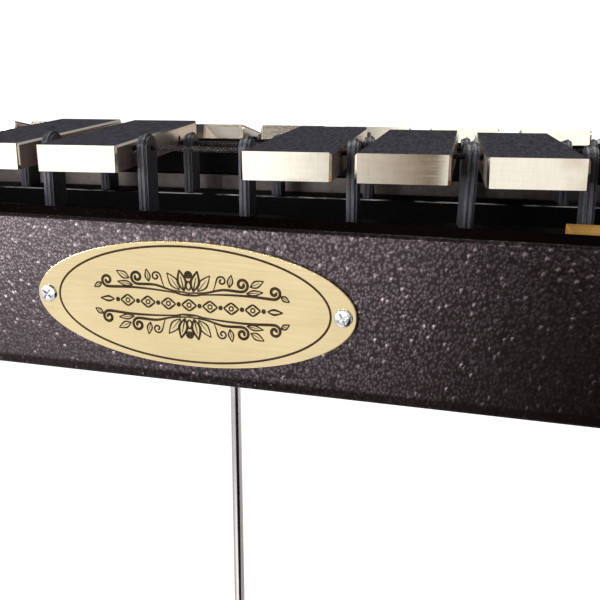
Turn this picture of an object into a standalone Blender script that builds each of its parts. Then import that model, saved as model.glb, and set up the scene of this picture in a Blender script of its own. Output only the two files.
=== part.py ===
"""Orchestral glockenspiel on a height-adjustable stand, with a pedal-worked damper.

Metres, +Z up. The front rail with the oval plate faces -Y, the player stands at +Y,
and the low notes are at +X, and X = 0 is the middle of the frame.
"""
import math

import bmesh
import bpy
from mathutils import Matrix, Vector

for old in list(bpy.data.objects):
    bpy.data.objects.remove(old, do_unlink=True)

# Clearances between pieces
SEAT = 0.0003
SLIDE_FIT = 0.0005
PIN_FIT = 0.0003
CORD_FIT = 0.0004

# Height of the accidental bars' tops with the stand at its lowest
TOP_Z = 0.860
HEIGHT_TRAVEL = 0.150

# Bars
PITCH = 0.04095
BAR_WIDTH = 0.032
BAR_THICK = 0.010
BAR_CHAMFER = 0.0008
BAR_LENGTH = 0.1165
LENGTH_PER_X = 0.071
NODE_SHARE = 0.224
FIRST_SEMITONE = 7
NOTES = 30
NATURALS = 18

# Rows: where the bars' front ends lie, and how far each row drops towards the player
ACCIDENTAL_FRONT_Y = -0.1242
ACCIDENTAL_SLANT = -0.128
ROW_GAP = 0.0134
NATURAL_SLANT = ACCIDENTAL_SLANT + LENGTH_PER_X
NATURAL_DROP = 0.0007
NATURAL_TILT = math.radians(9.5)
OUTER_CORD_DEPTH = 0.0034
INNER_CORD_DEPTH = 0.0046

# How single bars lie on their cord: sideways, forwards, turn and lift, as in the photograph
BAR_LIE = {
    "bar_ds7": (0.0001, 0.0033, math.radians(-1.1), math.radians(1.1)),
    "bar_cs7": (-0.0011, 0.0037, math.radians(0.1), math.radians(1.0)),
    "bar_as6": (0.0002, -0.0008, math.radians(-0.8), math.radians(0.1)),
    "bar_gs6": (0.0002, 0.0004, math.radians(-1.5), math.radians(-0.5)),
    "bar_fs6": (0.0005, -0.0012, math.radians(0.5), math.radians(-0.8)),
}

# Cords and posts
CORD_RADIUS = 0.0011
CORD_BEND = 0.003
POST_WIDTH = 0.0040
POST_DEPTH = 0.0125
FRONT_POST_HEAD = 0.0033
INNER_POST_HEAD = -0.0010
POST_ARCH = 0.0045
POST_RAIL_DROP = 0.0280
POST_RAIL_WIDTH = 0.0160
POST_RAIL_HEIGHT = 0.0180
POST_ROOT = 0.0020

# Frame
FRONT_FACE_Y = -0.1589
FRONT_SLANT = -0.143
RAIL_THICK = 0.020
FRONT_DROP = 0.0204
FRONT_HEIGHT = 0.0546
REAR_FACE_Y = 0.136
REAR_DROP = 0.040
END_BOARD_THICK = 0.020
END_GAP = 0.0065
EDGE_ROUND = 0.0015
BRACE_X = 0.060
BRACE_WIDTH = 0.030
BRACE_HEIGHT = 0.011
LEDGER_X = 0.095
LEDGER_WIDTH = 0.020
LEDGER_DROP = 0.0235
LEDGER_HEIGHT = 0.012

# Name plate
PLATE_X = -0.0275
PLATE_DROP = 0.0471
PLATE_LENGTH = 0.1130
PLATE_HEIGHT = 0.0423
PLATE_THICK = 0.0012
SCREW_EDGE = 0.00055
SCREW_RADIUS = 0.0015
SCREW_LENGTH = 0.012
SCREW_HEAD_RADIUS = 0.00335
SCREW_HEAD_HEIGHT = 0.0018

# Damper
DAMPER_WIDTH = 0.030
FELT_ACCIDENTAL_DROP = 0.0117
FELT_GAP = 0.0005
FELT_RIDGE_DROP = 0.0068
FELT_RIDGE_WIDTH = 0.0034
FELT_BOTTOM_DROP = 0.0223
DAMPER_RAIL_HEIGHT = 0.0075
SPRING_RADIUS = 0.0060
SPRING_WIRE = 0.0009
SPRING_TURNS = 6
SPRING_POINTS = 10
ROD_X = -0.0505
ROD_RADIUS = 0.0027
ROD_HOLD = 0.045
ROD_END_GAP = 0.045

# Pull tube and its thumbscrew
TUBE_RADIUS = 0.0050
TUBE_TOP_Z = 0.545
TUBE_COLLAR_RADIUS = 0.0090
TUBE_COLLAR_HEIGHT = 0.016
THUMB_RADIUS = 0.0020
THUMB_HEAD_RADIUS = 0.0075
THUMB_HEAD_LENGTH = 0.006
THUMB_STAND_OFF = 0.0015
STEM_RADIUS = 0.0030
NUT_RADIUS = 0.0080
NUT_HEIGHT = 0.005
NUT_GAP = 0.0009
TUBE_GAP = 0.0006

# Pedal
PEDAL_PIVOT_Y = -0.090
PEDAL_PIVOT_Z = 0.060
PEDAL_END_Y = 0.190
PEDAL_WIDTH = 0.070
PEDAL_THICK = 0.010
PEDAL_NECK = 0.054
PEDAL_SPREAD = 0.060
PEDAL_TOE = 0.042
PEDAL_TOE_CUT = 0.020
PEDAL_BARREL_RADIUS = 0.009
PEDAL_BARREL_LENGTH = 0.060
PEDAL_HOLE_RADIUS = 0.0047
PIN_RADIUS = 0.004
PIN_RIVET = 0.002
EAR_THICK = 0.005
EAR_GAP = 0.0012
EAR_WIDTH = 0.022
EAR_BASE = 0.005

# Stand
FOOT_LENGTH = 0.480
FOOT_WIDTH = 0.040
FOOT_HEIGHT = 0.022
PAD_RADIUS = 0.016
PAD_HEIGHT = 0.008
PAD_INSET = 0.022
LEG_TUBE_RADIUS = 0.0155
LEG_TUBE_WALL = 0.002
LEG_TUBE_TOP_Z = 0.560
COLUMN_HOLD = 0.105
COLUMN_PLATE = 0.050
COLUMN_PLATE_LENGTH = 0.070
COLUMN_PLATE_THICK = 0.005
COLLAR_RADIUS = 0.021
COLLAR_HEIGHT = 0.030
KNOB_STEM_RADIUS = 0.0040
KNOB_RADIUS = 0.018
KNOB_WAIST = 0.0145
KNOB_LENGTH = 0.016
KNOB_STAND_OFF = 0.003
KNOB_LOBES = 7
WELD = 0.001
CROSSBAR_SIZE = 0.020


def material(name, colour, roughness, metallic):
    made = bpy.data.materials.new(name)
    made.use_nodes = True
    shader = made.node_tree.nodes["Principled BSDF"]
    shader.inputs["Base Color"].default_value = (*colour, 1.0)
    shader.inputs["Roughness"].default_value = roughness
    shader.inputs["Metallic"].default_value = metallic
    made.diffuse_color = (*colour, 1.0)
    return made


BAR_METAL = material("bar_metal", (0.80, 0.73, 0.62), 0.32, 1.0)
PAINTED_WOOD = material("painted_wood", (0.020, 0.012, 0.014), 0.45, 0.0)
RAW_WOOD = material("raw_wood", (0.56, 0.36, 0.13), 0.60, 0.0)
POST_PLASTIC = material("post_plastic", (0.018, 0.018, 0.024), 0.30, 0.0)
CORD_FIBRE = material("cord_fibre", (0.045, 0.040, 0.034), 0.85, 0.0)
PLATE_BRASS = material("plate_brass", (0.84, 0.66, 0.29), 0.28, 1.0)
SCREW_NICKEL = material("screw_nickel", (0.75, 0.74, 0.72), 0.22, 1.0)
FELT = material("felt", (0.015, 0.015, 0.016), 0.95, 0.0)
DAMPER_METAL = material("damper_metal", (0.27, 0.24, 0.22), 0.45, 1.0)
SPRING_STEEL = material("spring_steel", (0.55, 0.55, 0.56), 0.30, 1.0)
ROD_CHROME = material("rod_chrome", (0.80, 0.79, 0.77), 0.12, 1.0)
STAND_PAINT = material("stand_paint", (0.018, 0.018, 0.020), 0.38, 0.0)
KNOB_PLASTIC = material("knob_plastic", (0.020, 0.020, 0.022), 0.42, 0.0)
PEDAL_METAL = material("pedal_metal", (0.58, 0.58, 0.60), 0.35, 1.0)


# Mesh helpers

def finish(mesh, name, paint, location=(0.0, 0.0, 0.0), smooth=False):
    """Turn a bmesh into an object with its origin at the given place."""
    bmesh.ops.recalc_face_normals(mesh, faces=mesh.faces)
    data = bpy.data.meshes.new(name)
    mesh.to_mesh(data)
    mesh.free()
    made = bpy.data.objects.new(name, data)
    made.location = location
    data.materials.append(paint)
    if smooth:
        data.shade_smooth()
    bpy.context.scene.collection.objects.link(made)
    return made


def add_prism(mesh, lower, upper):
    """Join two loops of points that match one to one."""
    below = [mesh.verts.new(point) for point in lower]
    above = [mesh.verts.new(point) for point in upper]
    count = len(below)
    mesh.faces.new(below)
    mesh.faces.new(reversed(above))
    for i in range(count):
        j = (i + 1) % count
        mesh.faces.new((below[i], below[j], above[j], above[i]))


def add_box(mesh, low, high):
    """A box between two corners."""
    (x0, y0, z0), (x1, y1, z1) = low, high
    plan = [(x0, y0), (x1, y0), (x1, y1), (x0, y1)]
    add_prism(mesh, [(x, y, z0) for x, y in plan], [(x, y, z1) for x, y in plan])


def ring_points(centre, axis, radius, count, phase=0.0):
    """Points of a regular polygon around an axis."""
    turn = Vector(axis).to_track_quat("Z", "Y")
    step = 2.0 * math.pi / count
    local = [Vector((math.cos(i * step + phase), math.sin(i * step + phase), 0.0)) for i in range(count)]
    return [Vector(centre) + turn @ (point * radius) for point in local]


def add_cylinder(mesh, start, end, radius, count=16):
    """A round bar between two points."""
    axis = Vector(end) - Vector(start)
    add_prism(mesh, ring_points(start, axis, radius, count), ring_points(end, axis, radius, count))


def add_sweep(mesh, route, radius, count, closed):
    """A round section carried along a route of points."""
    total = len(route)
    loops = []
    side = None
    for i, point in enumerate(route):
        before = route[(i - 1) % total] if closed or i > 0 else point
        after = route[(i + 1) % total] if closed or i < total - 1 else point
        along = (after - before).normalized()
        if side is None:
            side = along.cross(Vector((0.0, 0.0, 1.0))).normalized()
        side = (side - along * side.dot(along)).normalized()
        up = side.cross(along)
        loop = []
        for k in range(count):
            angle = 2.0 * math.pi * k / count
            loop.append(mesh.verts.new(point + (side * math.cos(angle) + up * math.sin(angle)) * radius))
        loops.append(loop)
    for i in range(total if closed else total - 1):
        near, far = loops[i], loops[(i + 1) % total]
        for k in range(count):
            m = (k + 1) % count
            mesh.faces.new((near[k], near[m], far[m], far[k]))
    if not closed:
        mesh.faces.new(loops[0])
        mesh.faces.new(reversed(loops[-1]))


def add_rings(mesh, rings):
    """Close a run of equal rings of points into one skin, capped at both ends."""
    loops = [[mesh.verts.new(point) for point in ring] for ring in rings]
    count = len(loops[0])
    mesh.faces.new(loops[0])
    mesh.faces.new(reversed(loops[-1]))
    for near, far in zip(loops, loops[1:]):
        for i in range(count):
            j = (i + 1) % count
            mesh.faces.new((near[i], near[j], far[j], far[i]))


def cutter(name, build):
    """A hidden object that a Boolean cuts with."""
    mesh = bmesh.new()
    build(mesh)
    made = finish(mesh, name, STAND_PAINT)
    made.hide_render = True
    made.display_type = "WIRE"
    return made


def boolean(target, tool, operation="DIFFERENCE"):
    """Cut one object with another, or join them."""
    step = target.modifiers.new(tool.name, "BOOLEAN")
    step.operation = operation
    step.solver = "EXACT"
    step.object = tool


def round_edges(target, width, segments=2):
    """Soften the edges of a sawn piece."""
    step = target.modifiers.new("round", "BEVEL")
    step.width = width
    step.segments = segments
    step.limit_method = "ANGLE"
    step.angle_limit = math.radians(40.0)


# Rows of bars

class Row:
    """One row: its bars start at a slanted line and drop towards the player."""

    def __init__(self, front_y, slant, drop, tilt, cord_depths):
        self.front_y = front_y
        self.slant = slant
        self.drop = drop
        self.tilt = tilt
        self.cord_depths = cord_depths

    def length(self, x):
        return BAR_LENGTH + LENGTH_PER_X * x

    def point(self, x, along, depth=0.0):
        """A point at a distance along the bar from its front end, below its top."""
        y = self.front_y + self.slant * x + along * math.cos(self.tilt) - depth * math.sin(self.tilt)
        z = TOP_Z - self.drop - along * math.sin(self.tilt) - depth * math.cos(self.tilt)
        return Vector((x, y, z))

    def node_along(self, x, inner):
        """Distance from the front end to a nodal line."""
        front_is_outer = self.tilt == 0.0
        share = NODE_SHARE if inner != front_is_outer else 1.0 - NODE_SHARE
        return self.length(x) * share

    def node(self, x, inner, depth=0.0):
        return self.point(x, self.node_along(x, inner), depth)

    def cord(self, x, inner):
        return self.node(x, inner, self.cord_depths[1 if inner else 0])


ACCIDENTALS_ROW = Row(ACCIDENTAL_FRONT_Y, ACCIDENTAL_SLANT, 0.0, 0.0,
                      (OUTER_CORD_DEPTH, INNER_CORD_DEPTH))
NATURALS_ROW = Row(ACCIDENTAL_FRONT_Y + BAR_LENGTH + ROW_GAP, NATURAL_SLANT, NATURAL_DROP, NATURAL_TILT,
                   (INNER_CORD_DEPTH, INNER_CORD_DEPTH))

ACCIDENTAL_POST_END = (NATURALS - 1) / 2 * PITCH
NATURAL_POST_END = NATURALS / 2 * PITCH
BOARD_X = NATURAL_POST_END + POST_WIDTH / 2 + END_GAP
FRAME_END_X = BOARD_X + END_BOARD_THICK


def post_places(end):
    count = round(2 * end / PITCH) + 1
    return [-end + PITCH * i for i in range(count)]


def front_face(x):
    return FRONT_FACE_Y + FRONT_SLANT * x


def front_back(x):
    """Back face of the front rail, square to its slant."""
    return front_face(x) + RAIL_THICK * math.hypot(1.0, FRONT_SLANT)


def bore_along_cord(row, inner):
    """The straight bore that a cord takes through bars and posts."""
    def build(mesh):
        reach = NATURAL_POST_END + POST_WIDTH * 0.6
        add_cylinder(mesh, row.cord(-reach, inner), row.cord(reach, inner), CORD_RADIUS + CORD_FIT, 8)
    return build


BORES = {}
for row_name, row in (("sharps", ACCIDENTALS_ROW), ("naturals", NATURALS_ROW)):
    BORES[row_name] = [cutter(f"cut_{row_name}_{inner}", bore_along_cord(row, inner)) for inner in (False, True)]


def note_names():
    """Each note's node name, with its place in naturals from the lowest."""
    letters = ("c", "cs", "d", "ds", "e", "f", "fs", "g", "gs", "a", "as", "b")
    place = -1.0
    for semitone in range(FIRST_SEMITONE, FIRST_SEMITONE + NOTES):
        letter = letters[semitone % 12]
        octave = 5 + semitone // 12
        if letter.endswith("s") and len(letter) == 2:
            yield f"bar_{letter}{octave}", place + 0.5, True
        else:
            place += 1.0
            yield f"bar_{letter}{octave}", place, False


def make_bar(name, place, accidental):
    """A bar with its long top edges chamfered, laid on its cord and bored for it at both nodal lines."""
    row = ACCIDENTALS_ROW if accidental else NATURALS_ROW
    x = ((NATURALS - 1) / 2 - place) * PITCH
    length = row.length(x)
    sideways, forwards, turn, lift = BAR_LIE.get(name, (0.0, 0.0, 0.0, 0.0))
    mesh = bmesh.new()
    add_box(mesh, (-BAR_WIDTH / 2, -length / 2, -BAR_THICK), (BAR_WIDTH / 2, length / 2, 0.0))
    top_sides = [edge for edge in mesh.edges
                 if all(v.co.z == 0.0 for v in edge.verts) and edge.verts[0].co.x == edge.verts[1].co.x]
    bmesh.ops.bevel(mesh, geom=top_sides, offset=BAR_CHAMFER, segments=1, affect="EDGES")
    bar = finish(mesh, name, BAR_METAL)
    back_to_node = length * (0.5 - NODE_SHARE)
    pose = Matrix.Translation(row.point(x + sideways, length / 2) + Vector((0.0, forwards, 0.0)))
    pose @= Matrix.Rotation(turn, 4, "Z") @ Matrix.Rotation(-row.tilt, 4, "X")
    pose @= Matrix.Translation((0.0, -back_to_node, 0.0)) @ Matrix.Rotation(lift, 4, "X")
    bar.matrix_world = pose @ Matrix.Translation((0.0, back_to_node, 0.0))
    for tool in BORES["sharps" if accidental else "naturals"]:
        boolean(bar, tool)


for note, note_place, is_accidental in note_names():
    make_bar(note, note_place, is_accidental)


# Posts, cords and the rails that the posts stand on

def add_post(mesh, foot, top_z):
    """One flat post with a head rounded from front to back."""
    half = POST_DEPTH / 2
    outline = [(-half, foot.z), (half, foot.z)]
    for i in range(7):
        angle = math.pi * i / 6
        outline.append((half * math.cos(angle), top_z - POST_ARCH * (1.0 - math.sin(angle))))
    left = [(foot.x - POST_WIDTH / 2, foot.y + y, z) for y, z in outline]
    right = [(foot.x + POST_WIDTH / 2, foot.y + y, z) for y, z in outline]
    add_prism(mesh, left, right)


def make_post_rail(name, row, inner, end, head, bore):
    """A rail along one nodal line, moulded with the posts that the cord passes through.

    Only the front row of posts stands above the bars.
    """
    half = POST_RAIL_WIDTH / 2
    loops = []
    for x in (-BOARD_X + SEAT, BOARD_X - SEAT):
        top = row.node(x, inner) - Vector((0.0, 0.0, POST_RAIL_DROP))
        low_z = top.z - POST_RAIL_HEIGHT
        loops.append([(x, top.y - half, low_z), (x, top.y + half, low_z),
                      (x, top.y + half, top.z), (x, top.y - half, top.z)])
    mesh = bmesh.new()
    add_prism(mesh, *loops)
    rail = finish(mesh, name, POST_PLASTIC)

    def posts(mesh):
        for x in post_places(end):
            top = row.node(x, inner)
            add_post(mesh, top - Vector((0.0, 0.0, POST_RAIL_DROP + POST_ROOT)), top.z + head)

    boolean(rail, cutter(f"posts_of_{name}", posts), "UNION")
    boolean(rail, bore)


def make_cord(name, row, end):
    """One closed loop of cord, out along one nodal line and back along the other."""
    reach = end + POST_WIDTH / 2 + END_GAP / 2
    corners = [row.cord(-reach, False), row.cord(reach, False), row.cord(reach, True), row.cord(-reach, True)]
    route = []
    for i, corner in enumerate(corners):
        before = (corners[i - 1] - corner).normalized()
        after = (corners[(i + 1) % 4] - corner).normalized()
        for t in (0.0, 0.25, 0.5, 0.75, 1.0):
            a = corner + before * CORD_BEND * (1.0 - t) ** 2
            b = after * CORD_BEND * t ** 2
            route.append(a + b)
    mesh = bmesh.new()
    add_sweep(mesh, route, CORD_RADIUS, 8, True)
    finish(mesh, name, CORD_FIBRE, smooth=True)


ROWS = (("sharps", ACCIDENTALS_ROW, ACCIDENTAL_POST_END), ("naturals", NATURALS_ROW, NATURAL_POST_END))
for row_name, row, row_end in ROWS:
    for is_inner in (False, True):
        rail_name = f"post_rail_{row_name}_{'inner' if is_inner else 'outer'}"
        head = FRONT_POST_HEAD if row_name == "sharps" and not is_inner else INNER_POST_HEAD
        make_post_rail(rail_name, row, is_inner, row_end, head, BORES[row_name][is_inner])
    make_cord(f"cord_{row_name}", row, row_end)


# Frame

FRAME_TOP_Z = TOP_Z - FRONT_DROP
FRAME_BOTTOM_Z = FRAME_TOP_Z - FRONT_HEIGHT
REAR_TOP_Z = TOP_Z - REAR_DROP
BRACE_TOP_Z = FRAME_BOTTOM_Z + BRACE_HEIGHT
PLATE_TURN = math.atan(FRONT_SLANT)
PLATE_CENTRE = Vector((PLATE_X, front_face(PLATE_X), TOP_Z - PLATE_DROP))
PLATE_NORMAL = Vector((math.sin(PLATE_TURN), -math.cos(PLATE_TURN), 0.0))
PLATE_ALONG = Vector((math.cos(PLATE_TURN), math.sin(PLATE_TURN), 0.0))
SCREW_REACH = PLATE_LENGTH / 2 - SCREW_HEAD_RADIUS - SCREW_EDGE
SCREW_PLACES = [PLATE_CENTRE + PLATE_ALONG * SCREW_REACH * side for side in (-1, 1)]


def screw_bores(mesh):
    """Pilot holes for the plate's screws, through the plate and into the rail."""
    for place in SCREW_PLACES:
        start = place + PLATE_NORMAL * PLATE_THICK * 3
        add_cylinder(mesh, start, place - PLATE_NORMAL * (SCREW_LENGTH + SEAT), SCREW_RADIUS + PIN_FIT, 12)


def make_front_rail():
    mesh = bmesh.new()
    end = FRAME_END_X
    plan = [(-end, front_face(-end)), (end, front_face(end)), (end, front_back(end)), (-end, front_back(-end))]
    add_prism(mesh, [(x, y, FRAME_BOTTOM_Z) for x, y in plan], [(x, y, FRAME_TOP_Z) for x, y in plan])
    rail = finish(mesh, "front_rail", PAINTED_WOOD)
    round_edges(rail, EDGE_ROUND)
    boolean(rail, SCREW_BORES)


def make_rear_rail():
    mesh = bmesh.new()
    add_box(mesh, (-FRAME_END_X, REAR_FACE_Y, FRAME_BOTTOM_Z), (FRAME_END_X, REAR_FACE_Y + RAIL_THICK, REAR_TOP_Z))
    rail = finish(mesh, "rear_rail", PAINTED_WOOD)
    round_edges(rail, EDGE_ROUND)


def make_end_board(name, side):
    """Board between the two rails, its top falling towards the player."""
    loops = []
    for x in (side * BOARD_X, side * FRAME_END_X):
        y0 = front_back(x) + SEAT
        y1 = REAR_FACE_Y - SEAT
        loops.append([(x, y0, FRAME_BOTTOM_Z), (x, y1, FRAME_BOTTOM_Z), (x, y1, REAR_TOP_Z), (x, y0, FRAME_TOP_Z)])
    mesh = bmesh.new()
    add_prism(mesh, *loops)
    board = finish(mesh, name, PAINTED_WOOD)
    round_edges(board, EDGE_ROUND)


def make_spring_brace():
    x0 = BRACE_X - BRACE_WIDTH / 2
    x1 = BRACE_X + BRACE_WIDTH / 2
    y1 = REAR_FACE_Y - SEAT
    plan = [(x0, front_back(x0) + SEAT), (x1, front_back(x1) + SEAT), (x1, y1), (x0, y1)]
    mesh = bmesh.new()
    add_prism(mesh, [(x, y, FRAME_BOTTOM_Z) for x, y in plan], [(x, y, BRACE_TOP_Z) for x, y in plan])
    finish(mesh, "spring_brace", PAINTED_WOOD)


def make_ledger_strip():
    """Raw strip against the front of the first post rail, at the low end."""
    mesh = bmesh.new()
    loops = []
    top_z = TOP_Z - LEDGER_DROP
    for x in (LEDGER_X, BOARD_X - SEAT):
        y1 = ACCIDENTALS_ROW.node(x, False).y - POST_RAIL_WIDTH / 2 - SEAT
        y0 = y1 - LEDGER_WIDTH
        loops.append([(x, y0, top_z - LEDGER_HEIGHT), (x, y1, top_z - LEDGER_HEIGHT), (x, y1, top_z), (x, y0, top_z)])
    add_prism(mesh, *loops)
    finish(mesh, "ledger_strip", RAW_WOOD)


def make_name_plate():
    """Bare oval plate, its rim softened."""
    mesh = bmesh.new()
    loops = []
    for lift, shrink in ((SEAT, 0.0), (SEAT + PLATE_THICK * 0.7, 0.0), (SEAT + PLATE_THICK, PLATE_THICK * 0.4)):
        loop = []
        for i in range(48):
            angle = 2.0 * math.pi * i / 48
            along = PLATE_ALONG * (PLATE_LENGTH / 2 - shrink) * math.cos(angle)
            rise = Vector((0.0, 0.0, (PLATE_HEIGHT / 2 - shrink) * math.sin(angle)))
            loop.append(along + rise + PLATE_NORMAL * lift)
        loops.append(loop)
    add_rings(mesh, loops)
    plate = finish(mesh, "name_plate", PLATE_BRASS, PLATE_CENTRE)
    boolean(plate, SCREW_BORES)


def make_plate_screw(name, place):
    """Pan-head screw, its head on the plate and its shank in the rail."""
    profile = ((-SCREW_LENGTH - PLATE_THICK, SCREW_RADIUS), (0.0, SCREW_RADIUS), (0.0, SCREW_HEAD_RADIUS),
               (SCREW_HEAD_HEIGHT * 0.5, SCREW_HEAD_RADIUS), (SCREW_HEAD_HEIGHT, SCREW_HEAD_RADIUS * 0.6))
    under = PLATE_THICK + 2 * SEAT
    mesh = bmesh.new()
    add_rings(mesh, [ring_points(PLATE_NORMAL * (under + lift), PLATE_NORMAL, r, 16) for lift, r in profile])
    finish(mesh, name, SCREW_NICKEL, place)


SCREW_BORES = cutter("cut_screws", screw_bores)
make_front_rail()
make_rear_rail()
make_end_board("end_board_low", 1)
make_end_board("end_board_high", -1)
make_spring_brace()
make_ledger_strip()
make_name_plate()
make_plate_screw("plate_screw_low", SCREW_PLACES[1])
make_plate_screw("plate_screw_high", SCREW_PLACES[0])


# Damper under the inner ends of both rows

def damper_y(x):
    """Middle of the gap between the rows."""
    return NATURALS_ROW.front_y - ROW_GAP / 2 + NATURAL_SLANT * x


DAMPER_RAIL_TOP_Z = TOP_Z - FELT_BOTTOM_DROP - SEAT
DAMPER_RAIL_BOTTOM_Z = DAMPER_RAIL_TOP_Z - DAMPER_RAIL_HEIGHT
DAMPER_REACH = BOARD_X - SLIDE_FIT


def make_damper_rail():
    mesh = bmesh.new()
    loops = []
    for x in (-DAMPER_REACH, DAMPER_REACH):
        y0 = damper_y(x) - DAMPER_WIDTH / 2
        y1 = damper_y(x) + DAMPER_WIDTH / 2
        loops.append([(x, y0, DAMPER_RAIL_BOTTOM_Z), (x, y1, DAMPER_RAIL_BOTTOM_Z),
                      (x, y1, DAMPER_RAIL_TOP_Z), (x, y0, DAMPER_RAIL_TOP_Z)])
    add_prism(mesh, *loops)
    finish(mesh, "damper_rail", DAMPER_METAL)


def make_damper_felt():
    """Felt with a step for each row and a ridge that stands in the gap between them."""
    half = DAMPER_WIDTH / 2
    corner = BAR_WIDTH / 2 * abs(NATURAL_SLANT)
    ridge_end = ROW_GAP / 2 - BAR_THICK * math.sin(NATURAL_TILT) - corner - FELT_GAP
    ridge_start = ridge_end - FELT_RIDGE_WIDTH
    natural_drop = NATURAL_DROP + BAR_THICK * math.cos(NATURAL_TILT) + FELT_GAP
    fall = (half - ridge_end) * math.tan(NATURAL_TILT)
    outline = [(-half, FELT_BOTTOM_DROP), (half, FELT_BOTTOM_DROP), (half, natural_drop + fall),
               (ridge_end, natural_drop), (ridge_end, FELT_RIDGE_DROP), (ridge_start, FELT_RIDGE_DROP),
               (ridge_start, FELT_ACCIDENTAL_DROP), (-half, FELT_ACCIDENTAL_DROP)]
    mesh = bmesh.new()
    loops = []
    for x in (-DAMPER_REACH, DAMPER_REACH):
        loops.append([(x, damper_y(x) + y, TOP_Z - drop) for y, drop in outline])
    add_prism(mesh, *loops)
    finish(mesh, "damper_felt", FELT)


def make_damper_spring():
    """Coil spring between the brace and the damper's rail."""
    low = BRACE_TOP_Z + SEAT + SPRING_WIRE
    high = DAMPER_RAIL_BOTTOM_Z - SEAT - SPRING_WIRE
    steps = SPRING_TURNS * SPRING_POINTS
    route = []
    for i in range(steps + 1):
        angle = 2.0 * math.pi * i / SPRING_POINTS
        x = BRACE_X + SPRING_RADIUS * math.cos(angle)
        y = damper_y(BRACE_X) + SPRING_RADIUS * math.sin(angle)
        route.append(Vector((x, y, low + (high - low) * i / steps)))
    mesh = bmesh.new()
    add_sweep(mesh, route, SPRING_WIRE, 8, False)
    finish(mesh, "damper_spring", SPRING_STEEL, smooth=True)


ROD_Y = damper_y(ROD_X)
ROD_LOW_Z = TUBE_TOP_Z - HEIGHT_TRAVEL - ROD_HOLD


def make_pull_rod():
    """Rod that still reaches down into the pull tube with the stand at its highest."""
    mesh = bmesh.new()
    top = Vector((ROD_X, ROD_Y, DAMPER_RAIL_BOTTOM_Z - SEAT))
    add_cylinder(mesh, Vector((ROD_X, ROD_Y, ROD_LOW_Z)), top, ROD_RADIUS, 20)
    finish(mesh, "pull_rod", ROD_CHROME)


make_damper_rail()
make_damper_felt()
make_damper_spring()
make_pull_rod()


# Pedal, its bracket and the pull tube

PEDAL_TOP_Z = PEDAL_PIVOT_Z + PEDAL_THICK * 0.8
PEDAL_LOW_Z = PEDAL_TOP_Z - PEDAL_THICK
THUMB_Z = TUBE_TOP_Z - TUBE_COLLAR_HEIGHT / 2
CROSSBAR_Z = PAD_HEIGHT + (FOOT_HEIGHT - CROSSBAR_SIZE) / 2


def pull_tube_bores(mesh):
    low = Vector((ROD_X, ROD_Y, ROD_LOW_Z - ROD_END_GAP))
    add_cylinder(mesh, low, Vector((ROD_X, ROD_Y, TUBE_TOP_Z + 0.01)), ROD_RADIUS + SLIDE_FIT, 20)


def thumb_bore(mesh):
    middle = Vector((ROD_X, ROD_Y, THUMB_Z))
    add_cylinder(mesh, middle, middle + Vector((0.0, TUBE_COLLAR_RADIUS * 2, 0.0)), THUMB_RADIUS + PIN_FIT, 12)


def make_pull_tube():
    """Tube with a collar at its top, and a stem and nut that go through the pedal."""
    nut_top = PEDAL_LOW_Z - NUT_GAP
    collar_low = TUBE_TOP_Z - TUBE_COLLAR_HEIGHT
    foot = PEDAL_TOP_Z + TUBE_GAP
    profile = ((nut_top - NUT_HEIGHT, NUT_RADIUS), (nut_top, NUT_RADIUS), (nut_top, STEM_RADIUS),
               (foot, STEM_RADIUS), (foot, TUBE_RADIUS), (collar_low, TUBE_RADIUS),
               (collar_low, TUBE_COLLAR_RADIUS), (TUBE_TOP_Z, TUBE_COLLAR_RADIUS))
    mesh = bmesh.new()
    add_rings(mesh, [ring_points((0.0, 0.0, z - foot), (0.0, 0.0, 1.0), r, 20) for z, r in profile])
    tube = finish(mesh, "pull_tube", STAND_PAINT, (ROD_X, ROD_Y, foot))
    boolean(tube, cutter("cut_tube_bore", pull_tube_bores))
    boolean(tube, cutter("cut_thumb_bore", thumb_bore))


def make_thumbscrew():
    """Screw that pinches the rod in the tube, its origin on its axis."""
    shoulder = TUBE_COLLAR_RADIUS + THUMB_STAND_OFF
    profile = ((ROD_RADIUS + SEAT, THUMB_RADIUS), (shoulder, THUMB_RADIUS), (shoulder, THUMB_HEAD_RADIUS),
               (shoulder + THUMB_HEAD_LENGTH, THUMB_HEAD_RADIUS))
    mesh = bmesh.new()
    add_rings(mesh, [ring_points((0.0, y, 0.0), (0.0, 1.0, 0.0), r, 16) for y, r in profile])
    finish(mesh, "rod_thumbscrew", KNOB_PLASTIC, (ROD_X, ROD_Y, THUMB_Z))


def pedal_cuts(mesh):
    reach = PEDAL_BARREL_LENGTH
    y = PEDAL_PIVOT_Y
    add_cylinder(mesh, (ROD_X - reach, y, PEDAL_PIVOT_Z), (ROD_X + reach, y, PEDAL_PIVOT_Z), PIN_RADIUS + PIN_FIT, 16)


def pedal_stem_cut(mesh):
    add_cylinder(mesh, (ROD_X, ROD_Y, PEDAL_LOW_Z - 0.01), (ROD_X, ROD_Y, PEDAL_TOP_Z + 0.01), PEDAL_HOLE_RADIUS, 16)


def pedal_barrel(mesh):
    half = PEDAL_BARREL_LENGTH / 2
    y = PEDAL_PIVOT_Y
    add_cylinder(mesh, (ROD_X - half, y, PEDAL_PIVOT_Z), (ROD_X + half, y, PEDAL_PIVOT_Z), PEDAL_BARREL_RADIUS, 20)


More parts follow.
